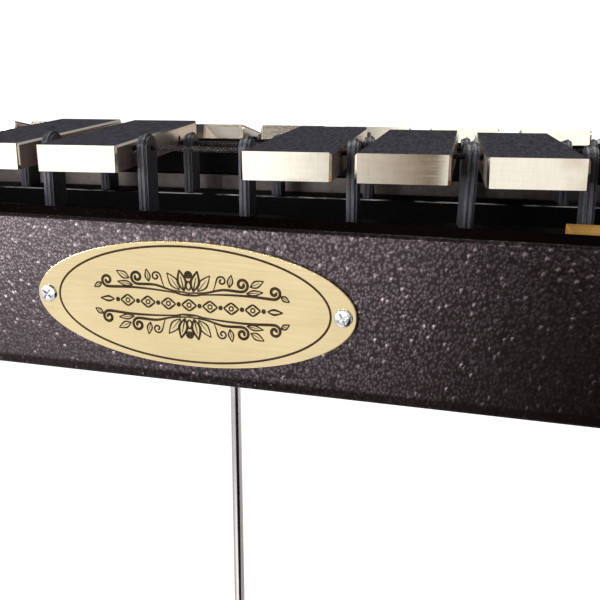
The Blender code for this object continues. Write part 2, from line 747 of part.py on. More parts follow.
def make_pedal():
    """Foot plate on a barrel that turns on the bracket's pin; its origin is on the pin's axis."""
    pivot = Vector((ROD_X, PEDAL_PIVOT_Y, PEDAL_PIVOT_Z))
    neck = PEDAL_NECK / 2
    wide = PEDAL_WIDTH / 2
    toe = PEDAL_TOE / 2
    spread = PEDAL_PIVOT_Y + PEDAL_SPREAD
    shoulder = PEDAL_END_Y - PEDAL_TOE_CUT
    plan = [(-neck, PEDAL_PIVOT_Y), (neck, PEDAL_PIVOT_Y), (wide, spread), (wide, shoulder),
            (toe, PEDAL_END_Y), (-toe, PEDAL_END_Y), (-wide, shoulder), (-wide, spread)]
    mesh = bmesh.new()
    low_z = PEDAL_LOW_Z - PEDAL_PIVOT_Z
    high_z = PEDAL_TOP_Z - PEDAL_PIVOT_Z
    shift = PEDAL_PIVOT_Y
    add_prism(mesh, [(x, y - shift, low_z) for x, y in plan], [(x, y - shift, high_z) for x, y in plan])
    pedal = finish(mesh, "pedal", PEDAL_METAL, pivot)
    boolean(pedal, cutter("join_pedal_barrel", pedal_barrel), "UNION")
    boolean(pedal, cutter("cut_pedal_pin", pedal_cuts))
    boolean(pedal, cutter("cut_pedal_stem", pedal_stem_cut))


def make_pedal_bracket():
    """A base plate with two ears on the crossbar, and the pin riveted through them."""
    ear_inner = PEDAL_BARREL_LENGTH / 2 + EAR_GAP
    ear_outer = ear_inner + EAR_THICK
    y0 = PEDAL_PIVOT_Y - EAR_WIDTH / 2
    y1 = PEDAL_PIVOT_Y + EAR_WIDTH / 2
    base_z = CROSSBAR_Z + CROSSBAR_SIZE + SEAT
    top_z = PEDAL_PIVOT_Z + EAR_WIDTH / 2
    outline = [(-ear_outer, base_z), (ear_outer, base_z), (ear_outer, top_z), (ear_inner, top_z),
               (ear_inner, base_z + EAR_BASE), (-ear_inner, base_z + EAR_BASE), (-ear_inner, top_z),
               (-ear_outer, top_z)]
    mesh = bmesh.new()
    add_prism(mesh, [(ROD_X + x, y0, z) for x, z in outline], [(ROD_X + x, y1, z) for x, z in outline])
    bracket = finish(mesh, "pedal_bracket", STAND_PAINT)
    boolean(bracket, cutter("join_bracket_pin", pedal_pin), "UNION")


def pedal_pin(mesh):
    half = PEDAL_BARREL_LENGTH / 2 + EAR_GAP + EAR_THICK + PIN_RIVET
    y = PEDAL_PIVOT_Y
    add_cylinder(mesh, (ROD_X - half, y, PEDAL_PIVOT_Z), (ROD_X + half, y, PEDAL_PIVOT_Z), PIN_RADIUS, 16)


make_pull_tube()
make_thumbscrew()
make_pedal()
make_pedal_bracket()


# Stand

LEG_X = BOARD_X + END_BOARD_THICK / 2
FOOT_TOP_Z = PAD_HEIGHT + FOOT_HEIGHT
COLUMN_TOP_Z = FRAME_BOTTOM_Z - SEAT
COLUMN_RADIUS = LEG_TUBE_RADIUS - LEG_TUBE_WALL - SLIDE_FIT
KNOB_Z = LEG_TUBE_TOP_Z - COLLAR_HEIGHT / 2


def make_leg(name, side):
    """T-foot on two pads, with a tube and its clamp collar welded on."""
    x = side * LEG_X
    half = FOOT_WIDTH / 2
    reach = FOOT_LENGTH / 2

    def foot(mesh):
        add_box(mesh, (x - half, -reach, PAD_HEIGHT), (x + half, reach, FOOT_TOP_Z))

    def pads(mesh):
        for end in (-1, 1):
            y = end * (reach - PAD_INSET)
            add_cylinder(mesh, (x, y, 0.0), (x, y, PAD_HEIGHT + WELD), PAD_RADIUS, 20)

    def collar(mesh):
        add_cylinder(mesh, (x, 0.0, LEG_TUBE_TOP_Z - COLLAR_HEIGHT), (x, 0.0, LEG_TUBE_TOP_Z), COLLAR_RADIUS, 20)

    def tube(mesh):
        add_cylinder(mesh, (x, 0.0, FOOT_TOP_Z - WELD), (x, 0.0, LEG_TUBE_TOP_Z - WELD), LEG_TUBE_RADIUS, 20)

    def bore(mesh):
        add_cylinder(mesh, (x, 0.0, FOOT_TOP_Z + WELD), (x, 0.0, LEG_TUBE_TOP_Z + WELD),
                     LEG_TUBE_RADIUS - LEG_TUBE_WALL, 20)

    def knob_bore(mesh):
        add_cylinder(mesh, (x, 0.0, KNOB_Z), (x + side * COLLAR_RADIUS * 1.5, 0.0, KNOB_Z),
                     KNOB_STEM_RADIUS + PIN_FIT, 12)

    mesh = bmesh.new()
    foot(mesh)
    leg = finish(mesh, name, STAND_PAINT)
    round_edges(leg, EDGE_ROUND, 1)
    for part, build in (("pads", pads), ("tube", tube), ("collar", collar)):
        boolean(leg, cutter(f"{name}_{part}", build), "UNION")
    for part, build in (("bore", bore), ("knob_bore", knob_bore)):
        boolean(leg, cutter(f"{name}_{part}", build))


def make_column(name, side):
    """Sliding column with a plate under its end board, long enough to hold at its highest."""
    x = side * LEG_X
    half = COLUMN_PLATE / 2
    reach = COLUMN_PLATE_LENGTH / 2
    plate_low_z = COLUMN_TOP_Z - COLUMN_PLATE_THICK
    low_z = LEG_TUBE_TOP_Z - HEIGHT_TRAVEL - COLUMN_HOLD

    def rod(mesh):
        add_cylinder(mesh, (x, 0.0, low_z), (x, 0.0, plate_low_z + WELD), COLUMN_RADIUS, 20)

    mesh = bmesh.new()
    add_box(mesh, (x - half, -reach, plate_low_z), (x + half, reach, COLUMN_TOP_Z))
    column = finish(mesh, name, ROD_CHROME)
    boolean(column, cutter(f"{name}_rod", rod), "UNION")


def make_clamp_knob(name, side):
    """Lobed knob whose stem reaches through the collar to the column; its origin is on its axis."""
    centre = Vector((side * LEG_X, 0.0, KNOB_Z))
    tip = COLUMN_RADIUS + SEAT
    shoulder = COLLAR_RADIUS + KNOB_STAND_OFF
    count = KNOB_LOBES * 4
    rings = []
    for reach, size in ((tip, None), (shoulder, None), (shoulder, 0.94), (shoulder + 0.002, 1.0),
                        (shoulder + KNOB_LENGTH - 0.003, 1.0), (shoulder + KNOB_LENGTH, 0.85)):
        ring = []
        for i in range(count):
            angle = 2.0 * math.pi * i / count
            radius = KNOB_STEM_RADIUS
            if size is not None:
                wave = 0.5 + 0.5 * math.cos(KNOB_LOBES * angle)
                radius = size * (KNOB_WAIST + (KNOB_RADIUS - KNOB_WAIST) * wave)
            ring.append((side * reach, radius * math.cos(angle), radius * math.sin(angle)))
        rings.append(ring)
    mesh = bmesh.new()
    add_rings(mesh, rings)
    finish(mesh, name, KNOB_PLASTIC, centre)


def make_crossbar():
    mesh = bmesh.new()
    end = LEG_X - FOOT_WIDTH / 2 - SEAT
    half = CROSSBAR_SIZE / 2
    add_box(mesh, (-end, PEDAL_PIVOT_Y - half, CROSSBAR_Z), (end, PEDAL_PIVOT_Y + half, CROSSBAR_Z + CROSSBAR_SIZE))
    finish(mesh, "crossbar", STAND_PAINT)


for side_name, side_sign in (("low", 1), ("high", -1)):
    make_leg(f"leg_{side_name}", side_sign)
    make_column(f"column_{side_name}", side_sign)
    make_clamp_knob(f"clamp_knob_{side_name}", side_sign)
make_crossbar()
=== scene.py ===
"""Orchestral glockenspiel: the finish of every piece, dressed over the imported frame.

Metres, +Z up. The front rail with the oval plate faces -Y and the low notes are at +X.
"""
import math

import bmesh
import bpy
from mathutils import Matrix, Vector


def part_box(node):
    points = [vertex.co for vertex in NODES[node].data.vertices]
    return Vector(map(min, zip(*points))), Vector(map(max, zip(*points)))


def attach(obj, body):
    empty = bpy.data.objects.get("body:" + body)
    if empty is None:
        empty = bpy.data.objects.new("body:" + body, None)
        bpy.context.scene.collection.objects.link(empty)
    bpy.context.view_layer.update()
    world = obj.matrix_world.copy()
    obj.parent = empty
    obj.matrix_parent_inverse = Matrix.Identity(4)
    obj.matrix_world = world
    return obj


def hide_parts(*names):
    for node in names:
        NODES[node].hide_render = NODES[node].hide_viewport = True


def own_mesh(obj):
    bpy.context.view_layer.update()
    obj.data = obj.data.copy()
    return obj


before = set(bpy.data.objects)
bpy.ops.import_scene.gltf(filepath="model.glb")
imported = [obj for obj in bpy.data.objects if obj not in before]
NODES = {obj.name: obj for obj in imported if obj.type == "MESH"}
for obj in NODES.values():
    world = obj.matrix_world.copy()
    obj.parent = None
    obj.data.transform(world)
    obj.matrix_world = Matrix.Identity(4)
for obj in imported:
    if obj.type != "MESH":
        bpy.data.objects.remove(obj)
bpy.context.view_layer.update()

bpy.ops.object.select_all(action="DESELECT")


# Stand: two T-feet of black painted steel with a tube welded on each, and a crossbar between them.
# Cut and welded from tube, powder coated, and set on turned rubber pads.

STAND_BLACK = (0.022, 0.021, 0.023)
STAND_WORN = (0.060, 0.058, 0.060)
PAD_RUBBER = (0.030, 0.030, 0.031)
PAD_TOP_Z = 0.0078
PAD_SEAM = 0.0004
STAND_MOTTLE = (9.0, 420.0, 0.45)
STAND_SPREAD = (0.35, 0.75)
STAND_ROUGH = (0.50, 0.34)
PEEL_SCALE = 900.0
PEEL_BUMP = (0.25, 0.0002)
NOISE_SPAN = (0.3, 0.7)
EDGE_SOFTENING = 0.0006
EDGE_ANGLE = 40.0
WALL_ANGLE = 35.0


def new_material(name, metallic=0.0, roughness=0.5, **sockets):
    """A node material with its shader's fixed values set on the sockets themselves."""
    made = bpy.data.materials.new(name)
    made.use_nodes = True
    shader = made.node_tree.nodes["Principled BSDF"]
    shader.inputs["Metallic"].default_value = metallic
    shader.inputs["Roughness"].default_value = roughness
    for socket, value in sockets.items():
        shader.inputs[socket.replace("_", " ")].default_value = value
    return made


def add_node(tree, kind, values=None, **settings):
    """A node with its settings, and values or links for its inputs."""
    made = tree.nodes.new(kind)
    for setting, value in settings.items():
        setattr(made, setting, value)
    for socket, value in (values or {}).items():
        if isinstance(value, bpy.types.NodeSocket):
            tree.links.new(value, made.inputs[socket])
        else:
            made.inputs[socket].default_value = value
    return made


def object_place(tree):
    """The piece's own coordinates."""
    return add_node(tree, "ShaderNodeTexCoord").outputs["Object"]


def stretched(tree, place, scale):
    """Coordinates drawn out, so that a pattern follows a grain."""
    return add_node(tree, "ShaderNodeMapping", {"Vector": place, "Scale": scale}).outputs["Vector"]


def noise(tree, place, scale, detail, roughness=0.5):
    """A cloudy value at one scale."""
    return add_node(tree, "ShaderNodeTexNoise", {"Vector": place, "Scale": scale, "Detail": detail,
                                                 "Roughness": roughness}).outputs["Fac"]


def between(tree, value, low, high, to_low=0.0, to_high=1.0):
    """A value's range carried to another: two ends before, and two after."""
    return add_node(tree, "ShaderNodeMapRange", {"Value": value, "From Min": low, "From Max": high,
                                                 "To Min": to_low, "To Max": to_high}).outputs["Result"]


def mixed(tree, share, first, second):
    """Two values mixed by a share."""
    made = add_node(tree, "ShaderNodeMix", {"Factor": share, 2: first, 3: second}, data_type="FLOAT")
    return made.outputs[0]


def reckoned(tree, operation, *values):
    """Two or three values put together by one operation."""
    return add_node(tree, "ShaderNodeMath", dict(enumerate(values)), operation=operation).outputs[0]


def blended(tree, share, first, second):
    """Two colours, given or linked, mixed by a share."""
    made = add_node(tree, "ShaderNodeMix", {"Factor": share, 6: first, 7: second}, data_type="RGBA")
    return made.outputs[2]


def colours(tree, value, dark, light):
    """One of a finish's colours going over to another."""
    return blended(tree, value, (*dark, 1.0), (*light, 1.0))


def bumped(tree, height, strength, depth):
    """A normal from a height, with a strength and a depth in metres."""
    return add_node(tree, "ShaderNodeBump", {"Height": height, "Strength": strength,
                                             "Distance": depth}).outputs["Normal"]


def feed(material, **links):
    """Link values to the shader's inputs."""
    shader = material.node_tree.nodes["Principled BSDF"]
    for socket, value in links.items():
        material.node_tree.links.new(value, shader.inputs[socket.replace("_", " ")])
    return material


def new_group(name, inputs, outputs):
    """An effect that several finishes share: its group, with where its values come in and go out."""
    group = bpy.data.node_groups.new(name, "ShaderNodeTree")
    for label, kind, value in inputs:
        socket = group.interface.new_socket(label, in_out="INPUT", socket_type=kind)
        if value is not None:
            socket.default_value = value
    for label, kind in outputs:
        group.interface.new_socket(label, in_out="OUTPUT", socket_type=kind)
    return group, group.nodes.new("NodeGroupInput"), group.nodes.new("NodeGroupOutput")


def mottle_group():
    """Slow and fast variation of a painted or moulded surface."""
    group, given, made = new_group(
        "mottle", [("Vector", "NodeSocketVector", None), ("Slow", "NodeSocketFloat", 12.0),
                   ("Fast", "NodeSocketFloat", 300.0), ("Fast Share", "NodeSocketFloat", 0.4)],
        [("Value", "NodeSocketFloat")])
    slow = noise(group, given.outputs["Vector"], given.outputs["Slow"], 4.0)
    fast = noise(group, given.outputs["Vector"], given.outputs["Fast"], 3.0)
    group.links.new(mixed(group, given.outputs["Fast Share"], slow, fast), made.inputs["Value"])
    return group


MOTTLE = mottle_group()


def mottled(tree, place, slow, fast, share):
    """The mottle with a finish's own slow and fast scale, and the fast one's share."""
    values = {"Vector": place, "Slow": slow, "Fast": fast, "Fast Share": share}
    return add_node(tree, "ShaderNodeGroup", values, node_tree=MOTTLE).outputs["Value"]


def stand_finish():
    """Powder coat: fine orange peel, a little dust, and rubber below the pads' height."""
    made = new_material("stand_powder_coat", roughness=0.42)
    tree = made.node_tree
    place = object_place(tree)
    value = mottled(tree, place, *STAND_MOTTLE)
    high = add_node(tree, "ShaderNodeSeparateXYZ", {"Vector": place}).outputs["Z"]
    coat = between(tree, high, PAD_TOP_Z, PAD_TOP_Z + PAD_SEAM)
    paint = colours(tree, between(tree, value, *STAND_SPREAD), STAND_BLACK, STAND_WORN)
    rubber = colours(tree, value, PAD_RUBBER, STAND_WORN)
    return feed(made, Base_Color=blended(tree, coat, rubber, paint),
                Roughness=between(tree, value, *NOISE_SPAN, *STAND_ROUGH),
                Normal=bumped(tree, noise(tree, place, PEEL_SCALE, 2.0), *PEEL_BUMP))


STAND_FINISH = stand_finish()


def merged_copy(name):
    """A CAD node's own shape as a free mesh, its triangles joined into whole faces."""
    made = NODES[name].copy()
    made.data = NODES[name].data.copy()
    made.name = f"{name}_piece"
    made.parent = None
    bpy.context.scene.collection.objects.link(made)
    bpy.context.view_layer.objects.active = made
    made.select_set(True)
    bpy.ops.object.mode_set(mode="EDIT")
    bpy.ops.mesh.select_all(action="SELECT")
    bpy.ops.mesh.remove_doubles(threshold=0.00001)
    bpy.ops.mesh.dissolve_limited(angle_limit=math.radians(0.5))
    bpy.ops.object.mode_set(mode="OBJECT")
    made.select_set(False)
    return made


def apply_modifier(obj, kind, **settings):
    """Add one modifier and apply it."""
    bpy.ops.object.select_all(action="DESELECT")
    bpy.context.view_layer.objects.active = obj
    obj.select_set(True)
    step = obj.modifiers.new(kind.lower(), kind)
    for setting, value in settings.items():
        setattr(step, setting, value)
    bpy.ops.object.modifier_apply(modifier=step.name)
    obj.select_set(False)


def smoothed(obj, angle):
    """Smooth shading up to an angle, with the large faces kept flat."""
    bpy.context.view_layer.objects.active = obj
    obj.select_set(True)
    bpy.ops.object.shade_smooth_by_angle(angle=math.radians(angle))
    obj.select_set(False)
    apply_modifier(obj, "WEIGHTED_NORMAL", keep_sharp=True)


def finished(obj, name, finish, body, slot, *nodes):
    """Name a piece, give it its finish, hang it on the empty of the body it rides on, and hide the CAD nodes
    it stands for.
    """
    obj.name = name
    obj.data.materials.clear()
    obj.data.materials.append(finish)
    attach(obj, body)
    if nodes:
        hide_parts(*nodes)
    return obj


def refined(name, finish, body, slot, softening=EDGE_SOFTENING, smooth=WALL_ANGLE):
    """A CAD node's own shape with softened edges and smooth round walls, in the node's place."""
    made = merged_copy(name)
    if softening:
        apply_modifier(made, "BEVEL", width=softening, segments=2, limit_method="ANGLE",
                       angle_limit=math.radians(EDGE_ANGLE))
    smoothed(made, smooth)
    return finished(made, f"{name}_piece", finish, body, slot, name)


for stand_node in ("leg_low", "leg_high", "crossbar", "pedal_bracket"):
    refined(stand_node, STAND_FINISH, "stand", "stand_paint")


# Pedal and pull tube: a cast aluminium foot plate on a steel pin, and a painted tube over the rod.
# The plate is cast with its barrel and fettled, and the tube is drawn, with a turned collar.

CAST_GREY = (0.36, 0.36, 0.37)
CAST_LIGHT = (0.56, 0.56, 0.57)
CAST_SOFTENING = 0.0012
CAST_MOTTLE = (22.0, 650.0, 0.5)
CAST_ROUGH = (0.55, 0.36)
PIT_SCALE = 700.0
PIT_BUMP = (0.3, 0.0003)


def cast_finish():
    """Fettled casting: a fine pitted skin, brighter where it is rubbed."""
    made = new_material("pedal_casting", metallic=1.0, roughness=0.45)
    tree = made.node_tree
    place = object_place(tree)
    value = mottled(tree, place, *CAST_MOTTLE)
    pits = add_node(tree, "ShaderNodeTexVoronoi", {"Vector": place, "Scale": PIT_SCALE})
    return feed(made, Base_Color=colours(tree, between(tree, value, *NOISE_SPAN), CAST_GREY, CAST_LIGHT),
                Roughness=between(tree, value, *NOISE_SPAN, *CAST_ROUGH),
                Normal=bumped(tree, pits.outputs["Distance"], *PIT_BUMP))


refined("pedal", cast_finish(), "pedal", "pedal_metal", CAST_SOFTENING)
refined("pull_tube", STAND_FINISH, "tube", "stand_paint", 0.0)


# Clamp knobs and thumbscrew: moulded black nylon on steel stems.
# Injection moulded, with a fine spark-eroded skin.

KNOB_BLACK = (0.020, 0.020, 0.021)
KNOB_SHEEN = (0.045, 0.045, 0.047)
KNOB_SOFTENING = 0.0005
THUMBSCREW_SOFTENING = 0.0004
KNOB_ANGLE = 50.0
KNOB_MOTTLE = (30.0, 800.0, 0.4)
KNOB_ROUGH = (0.52, 0.36)
SKIN_SCALE = 1500.0
SKIN_BUMP = (0.3, 0.0001)


def knob_finish():
    """Moulded nylon with the fine skin of its mould."""
    made = new_material("knob_nylon", roughness=0.45)
    tree = made.node_tree
    place = object_place(tree)
    value = mottled(tree, place, *KNOB_MOTTLE)
    return feed(made, Base_Color=colours(tree, value, KNOB_BLACK, KNOB_SHEEN),
                Roughness=between(tree, value, *NOISE_SPAN, *KNOB_ROUGH),
                Normal=bumped(tree, noise(tree, place, SKIN_SCALE, 2.0), *SKIN_BUMP))


KNOB_FINISH = knob_finish()
for side in ("low", "high"):
    refined(f"clamp_knob_{side}", KNOB_FINISH, f"knob_{side}", "knob_plastic", KNOB_SOFTENING, KNOB_ANGLE)
refined("rod_thumbscrew", KNOB_FINISH, "thumbscrew", "knob_plastic", THUMBSCREW_SOFTENING, KNOB_ANGLE)


# Columns and pull rod: bright chromed steel.
# Ground bar and tube, chromed, with faint lines along the length.

CHROME_DARK = (0.46, 0.43, 0.42)
CHROME_LIGHT = (0.66, 0.63, 0.62)
CHROME_MOTTLE = (25.0, 260.0, 0.3)
CHROME_ROUGH = (0.10, 0.22)
CHROME_WAY = (1.0, 1.0, 0.02)
CHROME_LINES = 900.0
CHROME_BUMP = (0.06, 0.0001)
COLUMN_SOFTENING = 0.0004
ROD_SOFTENING = 0.0003


def chrome_finish():
    """Chrome with faint drawn lines and smears."""
    made = new_material("rod_chrome_plate", metallic=1.0, roughness=0.14)
    tree = made.node_tree
    place = object_place(tree)
    lines = noise(tree, stretched(tree, place, CHROME_WAY), CHROME_LINES, 3.0)
    smears = mottled(tree, place, *CHROME_MOTTLE)
    return feed(made, Base_Color=colours(tree, smears, CHROME_DARK, CHROME_LIGHT),
                Roughness=between(tree, smears, *NOISE_SPAN, *CHROME_ROUGH),
                Normal=bumped(tree, lines, *CHROME_BUMP))


CHROME_FINISH = chrome_finish()
refined("column_low", CHROME_FINISH, "upper", "rod_chrome", COLUMN_SOFTENING)
refined("column_high", CHROME_FINISH, "upper", "rod_chrome", COLUMN_SOFTENING)
refined("pull_rod", CHROME_FINISH, "damper", "rod_chrome", ROD_SOFTENING)


# Frame: two long rails, two end boards and a brace of solid beech.
# Planed, glued and screwed, then sprayed with a dark brown textured paint that dries in fine pebbles.

PAINT_DARK = (0.0026, 0.0014, 0.0013)
PAINT_LIGHT = (0.0058, 0.0036, 0.0037)
# PAINT_GLINT is a painted highlight: pale flecks standing in for glints of the key light.
PAINT_GLINT = (0.13, 0.12, 0.13)
PAINT_TINT = (1.0, 0.82, 0.90, 1.0)
PAINT_SPREAD = (0.35, 0.65)
PAINT_ROUGH = (0.2, 1.6, 0.27, 0.19)
TONE_SCALE = 16.0
PEBBLE_SCALE = 1050.0
PEBBLE_WAY = (1.0, 1.0, 0.85)
PEBBLE_SLOPE = (0.0, 0.75, 0.50, 0.0)
PEBBLE_BUMP = (0.16, 0.00062)
DROP_SCALE = 460.0
DROP_CHANCE = (0.50, 0.95)
DROP_SLOPE = (0.05, 0.40, 1.0, 0.0)
DROP_RISE = 1.6
WOOD_GRAIN_SCALE = 420.0
WOOD_GRAIN_WAY = (0.03, 1.0, 1.0)
WOOD_GRAIN_RISE = 0.30
FLECK_SCALE = 540.0
FLECK_CHANCE = (0.50, 0.90)
FLECK_SLOPE = (0.06, 0.20, 1.0, 0.0)
GLINT_FADE = (-0.060, 0.030, 1.0, 0.15)
CREST = (0.20, 1.0, 0.20, 1.95)
CREST_FADE = (-0.150, 0.010)
CREST_EVEN = 0.60
CREST_EVEN_SHARE = 0.60
LOW_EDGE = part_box("front_rail")[0][2]
LOW_EDGE_RAMP = (LOW_EDGE + 0.0033, LOW_EDGE + 0.0043)
LOW_EDGE_SHEEN = 0.20
BOARD_ANGLE = 50.0


def cell_noise(tree, place, scale):
    """Cells of one scale: the distance from each cell's point, and a chance value for the cell."""
    cells = add_node(tree, "ShaderNodeTexVoronoi", {"Vector": place, "Scale": scale, "Randomness": 1.0})
    chance = add_node(tree, "ShaderNodeTexWhiteNoise", {"Vector": cells.outputs["Position"]})
    return cells.outputs["Distance"], chance.outputs["Value"]


def pebble_group():
    """Height, flecks and tone of a sprayed texture: fine pebbles, scattered drops and faint wood grain. The
    flecks are painted glints of the key light, fading out towards +X.
    """
    group, given, made = new_group(
        "sprayed_pebbles", [("Vector", "NodeSocketVector", None), ("Scale", "NodeSocketFloat", PEBBLE_SCALE)],
        [("Height", "NodeSocketFloat"), ("Flecks", "NodeSocketFloat"), ("Tone", "NodeSocketFloat")])
    place = given.outputs["Vector"]
    upright = stretched(group, place, PEBBLE_WAY)
    cells = add_node(group, "ShaderNodeTexVoronoi", {"Vector": upright, "Scale": given.outputs["Scale"]})
    fine = between(group, cells.outputs["Distance"], *PEBBLE_SLOPE)
    away, chance = cell_noise(group, upright, DROP_SCALE)
    chosen = between(group, chance, *DROP_CHANCE)
    drop = reckoned(group, "MULTIPLY", between(group, away, *DROP_SLOPE), chosen)
    grain = noise(group, stretched(group, place, WOOD_GRAIN_WAY), WOOD_GRAIN_SCALE, 4.0)
    low = reckoned(group, "MULTIPLY_ADD", grain, WOOD_GRAIN_RISE, fine)
    height = reckoned(group, "MULTIPLY_ADD", drop, DROP_RISE, low)
    away, chance = cell_noise(group, place, FLECK_SCALE)
    picked = between(group, chance, *FLECK_CHANCE)
    specks = reckoned(group, "MULTIPLY", picked, between(group, away, *FLECK_SLOPE))
    across = add_node(group, "ShaderNodeSeparateXYZ", {"Vector": place}).outputs["X"]
    # The flecks are painted glints, faded out towards +X as the key light's glints fall off.
    flecks = reckoned(group, "MULTIPLY", specks, between(group, across, *GLINT_FADE))
    group.links.new(height, made.inputs["Height"])
    group.links.new(flecks, made.inputs["Flecks"])
    group.links.new(noise(group, place, TONE_SCALE, 6.0), made.inputs["Tone"])
    return group


PEBBLES = pebble_group()


def frame_finish():
    """The frame's textured paint, with its pebbles' crests shiny, its lips and low edge dull, and pale flecks
    painted as glints of the key light.
    """
    made = new_material("frame_textured_paint", roughness=0.34, Specular_Tint=PAINT_TINT)
    tree = made.node_tree
    place = object_place(tree)
    pebbles = add_node(tree, "ShaderNodeGroup", {"Vector": place}, node_tree=PEBBLES).outputs
    paint = colours(tree, between(tree, pebbles["Tone"], *PAINT_SPREAD), PAINT_DARK, PAINT_LIGHT)
    sides = add_node(tree, "ShaderNodeSeparateXYZ", {"Vector": place}).outputs
    even = between(tree, sides["X"], *CREST_FADE, CREST_EVEN_SHARE, 0.0)
    crest = mixed(tree, even, between(tree, pebbles["Height"], *CREST), CREST_EVEN)
    lip = add_node(tree, "ShaderNodeAttribute", attribute_name="lip").outputs["Fac"]
    faced = mixed(tree, lip, crest, 0.0)
    rounded = between(tree, sides["Z"], *LOW_EDGE_RAMP, LOW_EDGE_SHEEN, 1.0)
    return feed(made, Base_Color=blended(tree, pebbles["Flecks"], paint, (*PAINT_GLINT, 1.0)),
                Roughness=between(tree, pebbles["Height"], *PAINT_ROUGH),
                Specular_IOR_Level=reckoned(tree, "MULTIPLY", faced, rounded),
                Normal=bumped(tree, pebbles["Height"], *PEBBLE_BUMP))


FRAME_FINISH = frame_finish()
for board in ("front_rail", "rear_rail", "end_board_low", "end_board_high", "spring_brace"):
    softening = 0.0 if board.endswith("rail") else EDGE_SOFTENING
    sprayed = refined(board, FRAME_FINISH, "upper", "painted_wood", softening, BOARD_ANGLE)
    lips = sprayed.data.attributes.new("lip", "FLOAT", "FACE")
    for i, face in enumerate(sprayed.data.polygons):
        lips.data[i].value = max(0.0, face.normal.z)


# Ledger strip: a bare softwood strip along the first post rail.
# Sawn and left raw, with its grain along the length.

RAW_DARK = (0.36, 0.17, 0.030)
RAW_LIGHT = (0.62, 0.34, 0.075)
RAW_WAY = (0.05, 1.0, 1.0)
RAW_SCALE = 450.0
RAW_ROUGH = (0.7, 0.5)
RAW_BUMP = (0.3, 0.0003)
STRIP_SOFTENING = 0.0004


def raw_wood_finish():
    """Raw wood with long grain lines."""
    made = new_material("ledger_softwood", roughness=0.6, Specular_IOR_Level=0.15)
    tree = made.node_tree
    grain = noise(tree, stretched(tree, object_place(tree), RAW_WAY), RAW_SCALE, 6.0)
    return feed(made, Base_Color=colours(tree, between(tree, grain, *NOISE_SPAN), RAW_DARK, RAW_LIGHT),
                Roughness=between(tree, grain, *NOISE_SPAN, *RAW_ROUGH),
                Normal=bumped(tree, grain, *RAW_BUMP))


refined("ledger_strip", raw_wood_finish(), "upper", "raw_wood", STRIP_SOFTENING)


# Post rails: a black rail under each nodal line, with flat ribbed posts pressed into it.
# Both are moulded. Each post is a strip folded over, so three ribs run up the front, over the head and down.
# The sill's edges carry a pale, streaked painted highlight, and the posts' heads are rubbed glossy.

POST_BLACK = (0.019, 0.019, 0.025)
POST_GREY = (0.074, 0.074, 0.086)
POST_SHINE = 0.08
POST_SPREAD = (0.38, 0.62)
POST_ROUGH = (0.35, 0.65, 0.40, 0.24)
POST_MOTTLE = (60.0, 700.0, 0.5)
POST_WAY = (1.0, 1.0, 0.05)
POST_LINES = 1700.0
POST_BUMP = (0.45, 0.0002)
HEAD_POLISH = 0.13
HEAD_FACING = (0.15, 0.55)
# The sill's black and grey are darker than black plastic: painted shade.
SILL_BLACK_AND_SHADE = (0.0006, 0.0005, 0.0006)
SILL_GREY_AND_SHADE = (0.0022, 0.0018, 0.0022)
# SILL_EDGE_HIGHLIGHT is a painted highlight along the sill's rounded edges.
SILL_EDGE_HIGHLIGHT = (0.62, 0.58, 0.56)
SILL_SHINE = 0.02
SILL_ROUGH = (0.6, 0.4)
SILL_MOTTLE = (40.0, 500.0, 0.5)
SILL_WAY = (0.25, 1.0, 1.0)
SILL_STREAKS = 260.0
SILL_HIGHLIGHT_BREAKS = (0.42, 0.60)
SILL_BUMP = (0.2, 0.0002)
POST_WIDTH = 0.0040
POST_DEPTH = 0.0125
POST_ARCH = 0.0045
POST_SIDES = 32
RIB_GROOVE = 0.00035
RIB_WIDTH = 0.0010
GROOVE_WIDTH = 0.0005
POST_ROUND = 0.00018
POST_ANGLE = 50.0
SILL_ROUND = 0.0012
SILL_EDGE = 0.3
HEAD_CLEAR = 0.012
HEAD_SINK = 0.0013
LEANING_POST = 10
POST_LEAN = math.radians(2.5)
POST_TURN = math.radians(8.0)
RAILS = ("post_rail_sharps_outer", "post_rail_sharps_inner", "post_rail_naturals_outer",
         "post_rail_naturals_inner")


def post_finish():
    """Black plastic with fine drawn lines upwards, glossy where it faces up."""
    made = new_material("post_plastic_drawn", roughness=0.32, Specular_IOR_Level=POST_SHINE,
                        Coat_Roughness=HEAD_POLISH)
    tree = made.node_tree
    place = object_place(tree)
    lines = noise(tree, stretched(tree, place, POST_WAY), POST_LINES, 4.0, 0.65)
    tone = mixed(tree, 0.6, mottled(tree, place, *POST_MOTTLE), lines)
    facing = add_node(tree, "ShaderNodeNewGeometry").outputs["Normal"]
    upward = add_node(tree, "ShaderNodeSeparateXYZ", {"Vector": facing}).outputs["Z"]
    return feed(made, Base_Color=colours(tree, between(tree, tone, *POST_SPREAD), POST_BLACK, POST_GREY),
                Roughness=between(tree, tone, *POST_ROUGH),
                Coat_Weight=between(tree, upward, *HEAD_FACING),
                Normal=bumped(tree, lines, *POST_BUMP))


POST_FINISH = post_finish()


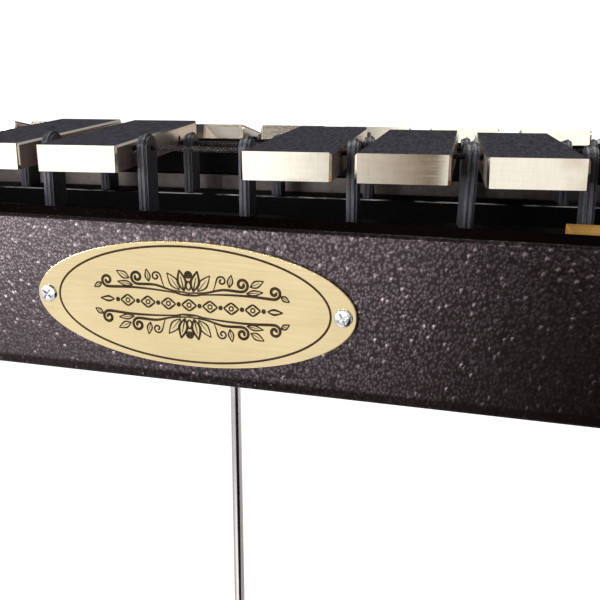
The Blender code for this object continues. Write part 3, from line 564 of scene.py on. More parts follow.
def sill_finish():
    """Dull black plastic, darkened further as painted shade, with a pale streaked highlight painted along its
    rounded edges, which the mesh's edge attribute gives.
    """
    made = new_material("sill_plastic", roughness=0.5, Specular_IOR_Level=SILL_SHINE)
    tree = made.node_tree
    place = object_place(tree)
    value = mottled(tree, place, *SILL_MOTTLE)
    streak = noise(tree, stretched(tree, place, SILL_WAY), SILL_STREAKS, 4.0)
    edge = add_node(tree, "ShaderNodeAttribute", attribute_name="edge").outputs["Fac"]
    # The rubbed mask is a painted highlight on the rounded edges, broken into streaks.
    rubbed = reckoned(tree, "MULTIPLY", between(tree, streak, *SILL_HIGHLIGHT_BREAKS), edge)
    # The plain sill is darkened past black plastic as painted shade.
    plain = colours(tree, value, SILL_BLACK_AND_SHADE, SILL_GREY_AND_SHADE)
    pale = colours(tree, value, SILL_GREY_AND_SHADE, SILL_EDGE_HIGHLIGHT)
    return feed(made, Base_Color=blended(tree, rubbed, plain, pale),
                Roughness=between(tree, value, *NOISE_SPAN, *SILL_ROUGH),
                Normal=bumped(tree, streak, *SILL_BUMP))


SILL_FINISH = sill_finish()


def rail_shape(name):
    """A post rail's sill, two end loops of four corners, and its posts' heads, read from its CAD node."""
    points = [vertex.co.copy() for vertex in NODES[name].data.vertices]
    low_x = min(point.x for point in points)
    high_x = max(point.x for point in points)
    loops = []
    for x in (low_x, high_x):
        end = [point for point in points if abs(point.x - x) < 0.0001]
        loops.append([(pick(p.y for p in end), pick(p.z for p in end)) for pick in (min, max)])
    sill = max(high[1] for _, high in loops)
    tops = {}
    for point in points:
        if point.z < sill + HEAD_CLEAR:
            continue
        key = min((k for k in tops if abs(k - point.x) < POST_WIDTH * 1.5), default=point.x)
        tops.setdefault(key, []).append(point)
    heads = []
    for group in tops.values():
        x = (min(p.x for p in group) + max(p.x for p in group)) / 2
        y = (min(p.y for p in group) + max(p.y for p in group)) / 2
        heads.append(Vector((x, y, max(p.z for p in group))))
    return (low_x, high_x), loops, sorted(heads, key=lambda head: head.x)


def edit_mode(obj):
    """Open one object in edit mode with nothing in it selected."""
    bpy.ops.object.select_all(action="DESELECT")
    bpy.context.view_layer.objects.active = obj
    obj.select_set(True)
    bpy.ops.object.mode_set(mode="EDIT")
    bpy.ops.mesh.select_mode(type="FACE")
    bpy.ops.mesh.select_all(action="DESELECT")


def select_faces(obj, test):
    """In edit mode, select only the faces that pass a test of their centre and normal."""
    bpy.ops.mesh.select_all(action="DESELECT")
    mesh = bmesh.from_edit_mesh(obj.data)
    for face in mesh.faces:
        if test(face.calc_center_median(), face.normal):
            face.select_set(True)
    bmesh.update_edit_mesh(obj.data)


def kept_in_mesh(obj):
    """Put an object's place, turn and size into its mesh."""
    bpy.context.view_layer.objects.active = obj
    obj.select_set(True)
    bpy.ops.object.transform_apply(location=True, rotation=True, scale=True)
    obj.select_set(False)


def object_mode(obj):
    """Back to object mode, with the object's place in its mesh."""
    bpy.ops.object.mode_set(mode="OBJECT")
    kept_in_mesh(obj)


def one_post(height):
    """A post, head's top at the origin: a flattened cylinder across X, drawn down and stepped into ribs."""
    bpy.ops.mesh.primitive_cylinder_add(vertices=POST_SIDES, radius=POST_DEPTH / 2, depth=RIB_WIDTH,
                                        rotation=(0.0, math.pi / 2, 0.0))
    post = bpy.context.object
    kept_in_mesh(post)
    edit_mode(post)
    bpy.ops.mesh.select_all(action="SELECT")
    bpy.ops.transform.resize(value=(1.0, 1.0, POST_ARCH * 2 / POST_DEPTH))
    bpy.ops.transform.translate(value=(RIB_WIDTH / 2 - POST_WIDTH / 2, 0.0, -POST_ARCH))
    select_faces(post, lambda centre, normal: centre.z < -POST_ARCH and abs(normal.x) < 0.5)
    bpy.ops.transform.translate(value=(0.0, 0.0, -height))
    middle = (0.0, 0.0, -POST_ARCH - height / 2)
    inward = (1.0, 1.0 - 2 * RIB_GROOVE / POST_DEPTH, 1.0 - 2 * RIB_GROOVE / (height + 2 * POST_ARCH))
    outward = (1.0, 1.0 / inward[1], 1.0 / inward[2])
    rib = ((GROOVE_WIDTH, inward), (RIB_WIDTH, outward))
    for width, size in rib * 2:
        select_faces(post, lambda centre, normal: normal.x > 0.9)
        bpy.ops.mesh.extrude_region_move()
        bpy.ops.transform.resize(value=size, center_override=middle)
        bpy.ops.mesh.extrude_region_move(TRANSFORM_OT_translate={"value": (width, 0.0, 0.0)})
    bpy.ops.mesh.select_all(action="SELECT")
    bpy.ops.mesh.normals_make_consistent(inside=False)
    object_mode(post)
    return post


def make_sill(rail, xs, loops):
    """The rail's sill: a bar between its two end loops, softened and marked where a highlight is painted
    along its edges.
    """
    bpy.ops.mesh.primitive_cube_add(size=1.0)
    sill = bpy.context.object
    for vertex in sill.data.vertices:
        low, high = loops[vertex.co.x > 0]
        vertex.co = (xs[vertex.co.x > 0], (low, high)[vertex.co.y > 0][0], (low, high)[vertex.co.z > 0][1])
    apply_modifier(sill, "BEVEL", width=SILL_ROUND, segments=3)
    smoothed(sill, EDGE_ANGLE)
    # The edge attribute marks where the painted highlight goes.
    edges = sill.data.attributes.new("edge", "FLOAT", "FACE")
    for i, face in enumerate(sill.data.polygons):
        edges.data[i].value = float(abs(face.normal.y) > SILL_EDGE and face.normal.z > SILL_EDGE)
    finished(sill, f"{rail}_sill", SILL_FINISH, "upper", "post_plastic", rail)


def make_posts(rail):
    """The rail's sill and its posts, each a copy of one, and where their heads are."""
    xs, loops, heads = rail_shape(rail)
    make_sill(rail, xs, loops)
    height = heads[0].z - HEAD_SINK - max(high[1] for _, high in loops) - POST_ARCH
    posts = one_post(height)
    mesh = bmesh.new()
    for i, head in enumerate(heads):
        piece = posts.data.copy()
        if i == LEANING_POST and rail == RAILS[0]:
            foot = Matrix.Translation((0.0, 0.0, height))
            lean = Matrix.Rotation(POST_LEAN, 4, "Y") @ Matrix.Rotation(POST_TURN, 4, "Z")
            piece.transform(foot.inverted() @ lean @ foot)
        piece.transform(Matrix.Translation(head - Vector((0.0, 0.0, HEAD_SINK))))
        mesh.from_mesh(piece)
        bpy.data.meshes.remove(piece)
    mesh.to_mesh(posts.data)
    mesh.free()
    apply_modifier(posts, "BEVEL", width=POST_ROUND, segments=2, limit_method="ANGLE",
                   angle_limit=math.radians(POST_ANGLE))
    smoothed(posts, WALL_ANGLE)
    finished(posts, f"{rail}_posts", POST_FINISH, "upper", "post_plastic", rail)
    return heads


HEADS = {rail: make_posts(rail) for rail in RAILS}


# Bar cords: one closed loop of braided cord for each row, through the bars and the posts.
# Eight strands of black polyester braided round, a few with a pale tracer, and knotted out of sight.
# Each loop runs aside from its posts' heads and below them, by a shift and a sink for either side.

CORD_RADIUS = 0.00112
CORD_HILL = 0.00032
CORD_REPEAT = 0.00155
CORD_STEPS = 4
CORD_SIDES = 16
CORD_ROWS = 4
CORD_OVERRUN = 0.00525
CORD_BEND = 0.0030
CORD_BEND_STEPS = 8
CORD_SINK = {"sharps": ((0.0, 0.0060), (0.0, 0.0054)),
             "naturals": ((-0.00076, 0.00354), (-0.00076, 0.00354))}
CORD_DARK = (0.006, 0.005, 0.005)
CORD_BROWN = (0.009, 0.007, 0.006)
CORD_TRACER = (0.48, 0.42, 0.37)
CORD_SHINE = 0.12
CROWN_SHOWN = (0.74, 0.96)
YARN_SCALE = 2400.0
YARN_SPREAD = (0.35, 0.65)
YARN_BUMP = (0.5, 0.0002)
TRACER_SCALE = 420.0
TRACER_SPREAD = (0.38, 0.60)


def cord_finish():
    """Dark yarn, paler on the crowns of the strands, which the mesh's crown attribute gives."""
    made = new_material("cord_polyester", roughness=0.7, Specular_IOR_Level=CORD_SHINE)
    tree = made.node_tree
    place = object_place(tree)
    crown = add_node(tree, "ShaderNodeAttribute", attribute_name="crown").outputs["Fac"]
    yarn = noise(tree, place, YARN_SCALE, 3.0)
    dark = colours(tree, between(tree, yarn, *YARN_SPREAD), CORD_DARK, CORD_BROWN)
    traced = between(tree, noise(tree, place, TRACER_SCALE, 2.0), *TRACER_SPREAD)
    pale = colours(tree, traced, CORD_BROWN, CORD_TRACER)
    return feed(made, Base_Color=blended(tree, between(tree, crown, *CROWN_SHOWN), dark, pale),
                Normal=bumped(tree, yarn, *YARN_BUMP))


def cord_route(row):
    """Points round the loop: through the outer posts, across, and back through the inner ones."""
    ends = []
    for side, (shift, sink) in zip(("outer", "inner"), CORD_SINK[row]):
        heads = HEADS[f"post_rail_{row}_{side}"]
        first, last = heads[0].copy(), heads[-1].copy()
        along = (last - first).normalized()
        drop = Vector((0.0, shift, -sink))
        reach = along * (CORD_OVERRUN / along.x)
        ends.append((first - reach + drop, last + reach + drop))
    corners = [ends[0][0], ends[0][1], ends[1][1], ends[1][0]]
    route = []
    for i, corner in enumerate(corners):
        before = (corners[i - 1] - corner).normalized()
        after = (corners[(i + 1) % 4] - corner).normalized()
        for step in range(CORD_BEND_STEPS + 1):
            t = step / CORD_BEND_STEPS
            route.append(corner + before * CORD_BEND * (1.0 - t) ** 2 + after * CORD_BEND * t ** 2)
    return route


def even_points(corners, count):
    """Points a set number of times round a closed run of corners, at one spacing."""
    spans = [(a, b, (b - a).length) for a, b in zip(corners, corners[1:] + corners[:1])]
    total = sum(span for _, _, span in spans)
    points = []
    done = 0.0
    for a, b, span in spans:
        while len(points) < count and len(points) * total / count < done + span - 1e-9:
            points.append(a.lerp(b, (len(points) * total / count - done) / span))
        done += span
    return points


def make_cord(row, finish):
    """A round section carried round the loop, with the crowns of a braid raised on it in rows."""
    corners = cord_route(row)
    total = sum((b - a).length for a, b in zip(corners, corners[1:] + corners[:1]))
    count = round(total / CORD_REPEAT) * CORD_STEPS
    route = even_points(corners, count)
    mesh = bmesh.new()
    crown = mesh.verts.layers.float.new("crown")
    rings = []
    for i, point in enumerate(route):
        along = (route[(i + 1) % count] - route[i - 1]).normalized()
        side = along.cross(Vector((0.0, 0.0, 1.0))).normalized()
        up = side.cross(along)
        ring = []
        for k in range(CORD_SIDES):
            angle = 2.0 * math.pi * (k + 0.5) / CORD_SIDES
            wave = math.cos(CORD_ROWS * angle + math.pi / 4) * math.cos(2.0 * math.pi * i / CORD_STEPS)
            radius = CORD_RADIUS - CORD_HILL * (0.5 - 0.5 * wave)
            vertex = mesh.verts.new(point + (side * math.cos(angle) + up * math.sin(angle)) * radius)
            vertex[crown] = 0.5 + 0.5 * wave
            ring.append(vertex)
        rings.append(ring)
    for near, far in zip(rings, rings[1:] + rings[:1]):
        for k in range(CORD_SIDES):
            m = (k + 1) % CORD_SIDES
            mesh.faces.new((near[k], near[m], far[m], far[k]))
    bmesh.ops.recalc_face_normals(mesh, faces=mesh.faces)
    name = f"cord_{row}_laid"
    data = bpy.data.meshes.new(name)
    mesh.to_mesh(data)
    mesh.free()
    data.shade_smooth()
    made = bpy.data.objects.new(name, data)
    bpy.context.scene.collection.objects.link(made)
    finished(made, name, finish, "upper", "cord_fibre", f"cord_{row}")


CORD_FINISH = cord_finish()
for cord_row in ("sharps", "naturals"):
    make_cord(cord_row, CORD_FINISH)


# Bars: thirty chamfered steel bars, resting on their cords.
# Sawn, ground and nickelled to a pale champagne, with the playing face finely grained and painted dark as a
# dark reflection.

# The top's dark colours are a painted reflection: the playing face is coloured dark for the dark reflection
# it shows.
TOP_DARK = (0.008, 0.008, 0.011)
TOP_LIGHT = (0.070, 0.066, 0.081)
TOP_SPREAD = (0.36, 0.64)
TOP_ROUGH = 0.7
TOP_WAY = (1.0, 0.14, 1.0)
TOP_GRAIN = 800.0
END_PALE = (0.93, 0.88, 0.77)
END_WARM = (0.83, 0.75, 0.62)
END_STAIN = (0.42, 0.29, 0.19)
END_SPREAD = (0.30, 0.58)
END_ROUGH = (0.06, 0.10)
BRUSHED_WAY = (0.06, 0.06, 1.0)
BRUSHED_LINES = 1300.0
HATCHED_WAY = (1.0, 1.0, 0.06)
HATCHED_LINES = 2200.0
STAIN_SCALE = 34.0
STAIN_SPREAD = (0.60, 0.76, 0.0, 0.7)
# The flanks' browns are painted shade: the same plating as the ends, coloured darker where the bars face each
# other.
FLANK_SHADE_BROWN = (0.34, 0.25, 0.21)
FLANK_SHADE_LIGHT = (0.52, 0.43, 0.37)
SIDE_SPREAD = (0.35, 0.65)
BAR_MOTTLE = (36.0, 260.0, 0.35)
BAR_SHINE = 0.06
BAR_BUMP = (0.07, 0.0001)
FLANK_DULLED = 0.25
FLANK_ROUGH = 0.26
CORNER_CUT = 0.0009
CORNER_HEIGHT = 0.006
BAR_ROUND = 0.00014
BAR_ANGLE = 20.0
TOP_FACING = 0.975
SIDE_FACING = 0.9


def end_colour(tree, place, cloud, brushed):
    """Pale champagne plating, brushed across, hatched upwards and stained brown in places."""
    hatched = noise(tree, stretched(tree, place, HATCHED_WAY), HATCHED_LINES, 2.0, 0.6)
    tone = mixed(tree, 0.60, cloud, mixed(tree, 0.55, brushed, hatched))
    plating = colours(tree, between(tree, tone, *END_SPREAD), END_WARM, END_PALE)
    stained = between(tree, noise(tree, place, STAIN_SCALE, 3.0), *STAIN_SPREAD)
    return blended(tree, stained, plating, (*END_STAIN, 1.0))


def bar_finish():
    """Three faces of one bar: a dark grained top that is a painted reflection, bright brushed ends and
    bevels, and duller flanks with painted shade.
    """
    made = new_material("bar_ground_steel", roughness=0.4, Specular_IOR_Level=BAR_SHINE)
    tree = made.node_tree
    place = object_place(tree)
    top = add_node(tree, "ShaderNodeAttribute", attribute_name="played").outputs["Fac"]
    flank = add_node(tree, "ShaderNodeAttribute", attribute_name="flank").outputs["Fac"]
    grain = noise(tree, stretched(tree, place, TOP_WAY), TOP_GRAIN, 4.0, 0.8)
    brushed = noise(tree, stretched(tree, place, BRUSHED_WAY), BRUSHED_LINES, 4.0, 0.6)
    cloud = mottled(tree, place, *BAR_MOTTLE)
    # The dark top colour is a painted reflection.
    tops = colours(tree, between(tree, grain, *TOP_SPREAD), TOP_DARK, TOP_LIGHT)
    # The flanks get the painted shade colours.
    flanks = colours(tree, between(tree, cloud, *SIDE_SPREAD), FLANK_SHADE_BROWN, FLANK_SHADE_LIGHT)
    steel = blended(tree, flank, end_colour(tree, place, cloud, brushed), flanks)
    metal = reckoned(tree, "SUBTRACT", between(tree, top, 0.0, 1.0, 1.0, 0.0),
                     between(tree, flank, 0.0, 1.0, 0.0, FLANK_DULLED))
    steel_rough = mixed(tree, flank, between(tree, brushed, *NOISE_SPAN, *END_ROUGH), FLANK_ROUGH)
    return feed(made, Base_Color=blended(tree, top, steel, tops), Metallic=metal,
                Roughness=mixed(tree, top, steel_rough, TOP_ROUGH),
                Normal=bumped(tree, mixed(tree, top, brushed, grain), *BAR_BUMP))


def make_bar_piece(name):
    """The bar's own shape with its four upright corners cut and every edge just softened."""
    made = merged_copy(name)
    edit_mode(made)
    bpy.ops.mesh.select_mode(type="EDGE")
    mesh = bmesh.from_edit_mesh(made.data)
    middle = sum((vertex.co for vertex in mesh.verts), Vector()) / len(mesh.verts)
    reach = max(abs(vertex.co.y - middle.y) for vertex in mesh.verts)
    for edge in mesh.edges:
        run = edge.verts[1].co - edge.verts[0].co
        far = all(abs(vertex.co.y - middle.y) > reach * 0.9 for vertex in edge.verts)
        edge.select_set(far and run.length > CORNER_HEIGHT and abs(run.z) > run.length * 0.95)
    bmesh.update_edit_mesh(made.data)
    bpy.ops.mesh.bevel(offset=CORNER_CUT, segments=1, affect="EDGES")
    bpy.ops.object.mode_set(mode="OBJECT")
    apply_modifier(made, "BEVEL", width=BAR_ROUND, segments=1, limit_method="ANGLE",
                   angle_limit=math.radians(EDGE_ANGLE))
    smoothed(made, BAR_ANGLE)
    played = made.data.attributes.new("played", "FLOAT", "FACE")
    flank = made.data.attributes.new("flank", "FLOAT", "FACE")
    for i, face in enumerate(made.data.polygons):
        played.data[i].value = 1.0 if face.normal.z > TOP_FACING else 0.0
        flank.data[i].value = 1.0 if abs(face.normal.x) > SIDE_FACING else 0.0
    finished(made, f"{name}_piece", BAR_FINISH, "upper", "bar_metal", name)


BAR_FINISH = bar_finish()
for node in sorted(NODES):
    if node.startswith("bar_"):
        make_bar_piece(node)


# Damper: a steel flat under the bars' inner ends, with thick black felt glued on, and its coil spring.
# The flat is drawn and zinc plated, the felt cut from sheet, and the spring wound from music wire. The flat's
# colour is far darker than zinc: painted shade.
# The spring stands on the brace.

# FLAT_SHADE colours are painted shade: far darker than zinc, as the flat lies in shade under the bars.
FLAT_SHADE_DARK = (0.040, 0.034, 0.032)
FLAT_SHADE_LIGHT = (0.100, 0.088, 0.082)
FLAT_ROUGH = 0.42
PLATED_MOTTLE = (18.0, 320.0, 0.4)
PLATED_WAY = (0.04, 1.0, 1.0)
PLATED_LINES = 900.0
PLATED_BUMP = (0.2, 0.0002)
FLAT_SOFTENING = 0.0004
# The felt's black is darker than black felt: painted shade for the dark space under the bars.
FELT_BLACK_AND_SHADE = (0.0016, 0.0016, 0.0017)
FELT_LINT = (0.0080, 0.0076, 0.0080)
LINT_SCALE = 1300.0
LINT_SPREAD = (0.45, 0.75)
LINT_BUMP = (0.8, 0.0006)
FELT_NAP = 0.0006
NAP_SIZE = 0.0035
FELT_FACE = 0.0016
WIRE_DARK = (0.42, 0.42, 0.43)
WIRE_LIGHT = (0.62, 0.62, 0.63)
WIRE_ROUGH = 0.28
ROUND_ANGLE = 60.0


def plated_finish(name, dark, light, roughness):
    """Plated steel with clouding and fine scratches along X."""
    made = new_material(name, metallic=1.0, roughness=roughness)
    tree = made.node_tree
    place = object_place(tree)
    lines = noise(tree, stretched(tree, place, PLATED_WAY), PLATED_LINES, 4.0)
    value = mottled(tree, place, *PLATED_MOTTLE)
    return feed(made, Base_Color=colours(tree, between(tree, value, *NOISE_SPAN), dark, light),
                Roughness=between(tree, lines, *NOISE_SPAN, roughness + 0.10, roughness - 0.06),
                Normal=bumped(tree, lines, *PLATED_BUMP))


def felt_finish():
    """Felt: matt black, darkened further as painted shade, with paler lint."""
    made = new_material("damper_felt_wool", roughness=0.95, Sheen_Weight=0.05, Sheen_Roughness=0.5,
                        Specular_IOR_Level=0.1)
    tree = made.node_tree
    lint = noise(tree, object_place(tree), LINT_SCALE, 5.0, 0.7)
    return feed(made, Base_Color=colours(tree, between(tree, lint, *LINT_SPREAD), FELT_BLACK_AND_SHADE, FELT_LINT),
                Normal=bumped(tree, lint, *LINT_BUMP))


def make_felt():
    """The felt strip's own shape with a matted, slightly uneven face."""
    felt = merged_copy("damper_felt")
    apply_modifier(felt, "REMESH", mode="VOXEL", voxel_size=FELT_FACE)
    nap = bpy.data.textures.new("felt_nap", "CLOUDS")
    nap.noise_scale = NAP_SIZE
    apply_modifier(felt, "DISPLACE", texture=nap, texture_coords="LOCAL", strength=FELT_NAP, mid_level=1.0)
    smoothed(felt, ROUND_ANGLE)
    finished(felt, "damper_felt_strip", felt_finish(), "damper", "felt", "damper_felt")


def make_spring():
    """The coil spring, with a mesh of its own."""
    wire = plated_finish("spring_wire", WIRE_DARK, WIRE_LIGHT, WIRE_ROUGH)
    coil = refined("damper_spring", wire, "upper", "spring_steel", 0.0, ROUND_ANGLE)
    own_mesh(coil)


# The flat's dark colours are painted shade.
FLAT_FINISH = plated_finish("damper_flat_zinc", FLAT_SHADE_DARK, FLAT_SHADE_LIGHT, FLAT_ROUGH)
refined("damper_rail", FLAT_FINISH, "damper", "damper_metal", FLAT_SOFTENING)
make_felt()
make_spring()


# Name plate: an oval of brass sheet, engraved with a line and an ornament, held by two pan-head screws.
# Blanked, brushed along its length, engraved, and the cuts filled flush with dark enamel.

BRASS_WARM = (0.61, 0.49, 0.27)
BRASS_PALE = (0.74, 0.60, 0.355)
BRASS_SPREAD = (0.32, 0.62)
BRASS_ROUGH = (0.05, 0.09)
BRASS_MOTTLE = (20.0, 140.0, 0.3)
BRASS_WAY = (0.03, 0.03, 1.0)
BRASS_LINES = 2600.0
BRASS_BUMP = (0.03, 0.0001)
ENAMEL = (0.010, 0.006, 0.003)
ENAMEL_LIGHT = (0.030, 0.018, 0.009)
ENAMEL_SPREAD = (0.35, 0.65)
ENAMEL_ROUGH = (0.7, 0.5)
ENAMEL_MOTTLE = (250.0, 1500.0, 0.5)
ENAMEL_SHINE = 0.04
PLATE_TURN = math.atan(-0.143)
PLATE_SIZE = (0.1130, 0.0423)
PLATE_THICK = 0.0012
PLATE_SIDES = 160
RIM_ROUND = 0.00035
RING_SIZE = (0.0961, 0.0389)
RING_SIDES = 144
LINE_RADIUS = 0.00037
RIDGE_HALF = 0.00015
ENAMEL_PROUD = 0.00004
MILLIMETRE = 0.001
PLATE_SHIFT = 0.0006
PLATE_ALONG = Vector((math.cos(PLATE_TURN), math.sin(PLATE_TURN), 0.0))
PLATE_NORMAL = Vector((math.sin(PLATE_TURN), -math.cos(PLATE_TURN), 0.0))


def box_middle(name):
    """The middle of a CAD node's box."""
    low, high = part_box(name)
    return (Vector(low) + Vector(high)) / 2


PLATE_MIDDLE = box_middle("name_plate") + PLATE_ALONG * PLATE_SHIFT
PLATE_FRAME = Matrix.Translation(PLATE_MIDDLE + PLATE_NORMAL * PLATE_THICK / 2) @ Matrix((
    (PLATE_ALONG.x, 0.0, PLATE_NORMAL.x, 0.0),
    (PLATE_ALONG.y, 0.0, PLATE_NORMAL.y, 0.0),
    (0.0, 1.0, 0.0, 0.0),
    (0.0, 0.0, 0.0, 1.0)))


def brass_finish():
    """Brass brushed along the plate."""
    made = new_material("plate_brushed_brass", metallic=1.0, roughness=0.1)
    tree = made.node_tree
    place = object_place(tree)
    brushed = noise(tree, stretched(tree, place, BRASS_WAY), BRASS_LINES, 4.0, 0.6)
    tone = mixed(tree, 0.5, mottled(tree, place, *BRASS_MOTTLE), brushed)
    return feed(made, Base_Color=colours(tree, between(tree, tone, *BRASS_SPREAD), BRASS_WARM, BRASS_PALE),
                Roughness=between(tree, brushed, *NOISE_SPAN, *BRASS_ROUGH),
                Normal=bumped(tree, brushed, *BRASS_BUMP))


def enamel_finish():
    """Dark enamel rubbed into engraved lines, a little uneven."""
    made = new_material("plate_enamel", roughness=0.6, Specular_IOR_Level=ENAMEL_SHINE)
    tree = made.node_tree
    value = mottled(tree, object_place(tree), *ENAMEL_MOTTLE)
    return feed(made, Base_Color=colours(tree, between(tree, value, *ENAMEL_SPREAD), ENAMEL, ENAMEL_LIGHT),
                Roughness=between(tree, value, *NOISE_SPAN, *ENAMEL_ROUGH))


def placed_on_plate(obj):
    """Carry a flat piece, drawn over the origin with its face up, to the plate's face."""
    obj.data.transform(PLATE_FRAME)
    obj.data.update()


def make_plate():
    """The oval, its front rim rounded over."""
    bpy.ops.mesh.primitive_cylinder_add(vertices=PLATE_SIDES, radius=0.5, depth=PLATE_THICK,
                                        location=(0.0, 0.0, -PLATE_THICK / 2))
    plate = bpy.context.object
    bpy.ops.transform.resize(value=(*PLATE_SIZE, 1.0))
    kept_in_mesh(plate)
    edit_mode(plate)
    select_faces(plate, lambda centre, normal: normal.z > 0.9)
    bpy.ops.mesh.bevel(offset=RIM_ROUND, segments=3, affect="EDGES")
    object_mode(plate)
    placed_on_plate(plate)
    smoothed(plate, EDGE_ANGLE)
    finished(plate, "name_plate_oval", BRASS_FINISH, "upper", "plate_brass", "name_plate")


def spiral(centre, start, end, radii, steps=22):
    """Points on a spiral between two angles in degrees, its radius going from one value to another."""
    points = []
    for i in range(steps + 1):
        t = i / steps
        angle = math.radians(start + (end - start) * t)
        radius = radii[0] + (radii[1] - radii[0]) * t
        points.append((centre[0] + radius * math.cos(angle), centre[1] + radius * math.sin(angle)))
    return points


def swept_curve(points, steps=10):
    """A smooth run through a few points."""
    padded = [points[0], *points, points[-1]]
    run = []
    for a, b, c, d in zip(padded, padded[1:], padded[2:], padded[3:]):
        for i in range(steps):
            t = i / steps
            run.append(tuple(0.5 * (2 * q + (r - p) * t + (2 * p - 5 * q + 4 * r - s) * t * t
                                    + (3 * q - p - 3 * r + s) * t ** 3) for p, q, r, s in zip(a, b, c, d)))
    run.append(points[-1])
    return run


def mirrored(strokes, across, up):
    """The same strokes turned over from side to side or from top to bottom."""
    return [([(across * x, up * y) for x, y in run], widths) for run, widths in strokes]


def leaf(root, tip, bulge, width):
    """The two sides of a pointed leaf and its vein, from its root to its tip."""
    (x0, y0), (x1, y1) = root, tip
    run, rise = x1 - x0, y1 - y0
    strokes = []
    for side in (-1.0, 1.0):
        middle = (x0 + run * 0.45 - rise * bulge * side, y0 + rise * 0.45 + run * bulge * side)
        strokes.append((swept_curve([root, middle, tip]), (width * 0.5, width, width * 0.6)))
    vein = [root, (x0 + run * 0.35, y0 + rise * 0.35), (x0 + run * 0.7, y0 + rise * 0.7)]
    strokes.append((swept_curve(vein), (width * 0.6, width * 0.5, width * 0.3)))
    return strokes


def scroll(stem, centre, start, turn, radii, width):
    """A stem that runs on into a spiral about a centre."""
    curl = spiral(centre, start, start + turn, radii)
    run = swept_curve([*stem, curl[0], curl[2]])[:-10] + curl[1:]
    return [(run, (width * 0.5, width, width * 1.1))]


def ornament_strokes():
    """One quarter of the ornament above and below the middle band, in millimetres, with stroke widths."""
    fine, mid, bold = 0.40, 0.62, 0.96
    strokes = scroll([(0.0, 4.1), (6.0, 4.6), (12.0, 6.0)], (18.6, 8.2), -90.0, 500.0, (2.3, 0.4), bold)
    strokes += scroll([(3.0, 3.7), (12.0, 4.4), (21.0, 4.6)], (29.6, 6.4), -100.0, 480.0, (2.2, 0.4), bold)
    strokes += scroll([(8.6, 5.2), (9.4, 7.4)], (11.6, 8.9), 170.0, -440.0, (1.7, 0.35), mid)
    strokes += leaf((14.2, 6.9), (15.0, 11.2), 0.20, mid)
    strokes += leaf((21.3, 7.6), (26.0, 9.9), 0.20, mid)
    strokes += leaf((20.0, 5.4), (25.8, 6.2), 0.14, mid)
    strokes += leaf((31.6, 5.4), (34.6, 3.7), 0.22, mid)
    strokes += leaf((1.6, 4.6), (3.2, 11.6), 0.20, bold)
    strokes += leaf((3.2, 4.8), (7.6, 10.4), 0.20, mid)
    strokes += [
        (swept_curve([(0.0, 4.9), (1.0, 6.4), (0.0, 8.2)]), (fine, bold, fine)),
        (spiral((0.0, 10.2), -90.0, 90.0, (1.0, 1.0), 10), (mid, bold, mid)),
        (spiral((0.0, 10.2), -90.0, 90.0, (0.35, 0.35), 8), (mid, mid, mid)),
        (swept_curve([(0.0, 3.4), (2.6, 3.4), (5.0, 3.9)]), (bold, mid, fine)),
    ]
    return strokes


def band_strokes():
    """One quarter of the middle band's chain of lozenges and beads, in millimetres, with stroke widths."""
    fine, mid, bold = 0.40, 0.52, 0.78
    pitch, half, rise = 7.4, 2.6, 1.95
    ring, bead = 0.70, 0.42
    strokes = []
    for k in range(4):
        x = pitch * k
        sides = (1.0, -1.0) if k else (1.0,)
        for side in sides:
            edge = [(x + side * half, 0.0), (x + side * half * 0.42, rise * 0.62), (x, rise)]
            strokes.append((swept_curve(edge), (mid, bold, mid)))
            strokes.append((spiral((x, 0.0), 90.0 - side * 90.0, 90.0, (ring, ring), 8), (mid, mid, mid)))
        strokes.append((spiral((x + pitch / 2, 0.0), 180.0, 0.0, (bead, bead), 10), (bold, bold, bold)))
    strokes.append((swept_curve([(27.2, 0.0), (29.4, 0.8), (32.4, 0.0)]), (fine, bold, fine)))
    return strokes


def oval_line():
    """Points of the thin oval line, in millimetres."""
    across, up = (size / MILLIMETRE / 2 for size in RING_SIZE)
    angles = [2.0 * math.pi * i / RING_SIDES for i in range(RING_SIDES)]
    return [(across * math.cos(angle), up * math.sin(angle)) for angle in angles]


def make_engraving():
    """Every engraved line as a low ridge of enamel: the oval line and the mirrored ornament."""
    data = bpy.data.curves.new("engraving", "CURVE")
    data.dimensions = "3D"
    data.bevel_depth = 0.5
    data.bevel_resolution = 1
    data.use_fill_caps = True
    ring = oval_line()
    quarter = ornament_strokes() + band_strokes()
    strokes = quarter + mirrored(quarter, -1, 1) + mirrored(quarter, 1, -1) + mirrored(quarter, -1, -1)
    strokes.append((ring, (LINE_RADIUS * 2 / MILLIMETRE,) * 3))
    for run, (start, middle, end) in strokes:
        line = data.splines.new("POLY")
        line.points.add(len(run) - 1)
        line.use_cyclic_u = run is ring
        for i, (x, y) in enumerate(run):
            t = i / (len(run) - 1)
            width = start + (middle - start) * t * 2 if t < 0.5 else middle + (end - middle) * (t * 2 - 1)
            line.points[i].co = (x * MILLIMETRE, y * MILLIMETRE, 0.0, 1.0)
            line.points[i].radius = width * MILLIMETRE
    made = bpy.data.objects.new("plate_engraving", data)
    bpy.context.scene.collection.objects.link(made)
    bpy.context.view_layer.objects.active = made
    made.select_set(True)
    bpy.ops.object.convert(target="MESH")
    made = bpy.context.object
    made.select_set(False)
    made.data.transform(Matrix.Diagonal((1.0, 1.0, ENAMEL_PROUD / RIDGE_HALF, 1.0)))
    placed_on_plate(made)
    finished(made, "plate_engraving", enamel_finish(), "upper", "plate_brass")


BRASS_FINISH = brass_finish()
make_plate()
make_engraving()


# Plate screws: nickelled pan-head screws with a cross recess.
# Cold headed and rolled, the recess punched, then plated bright.

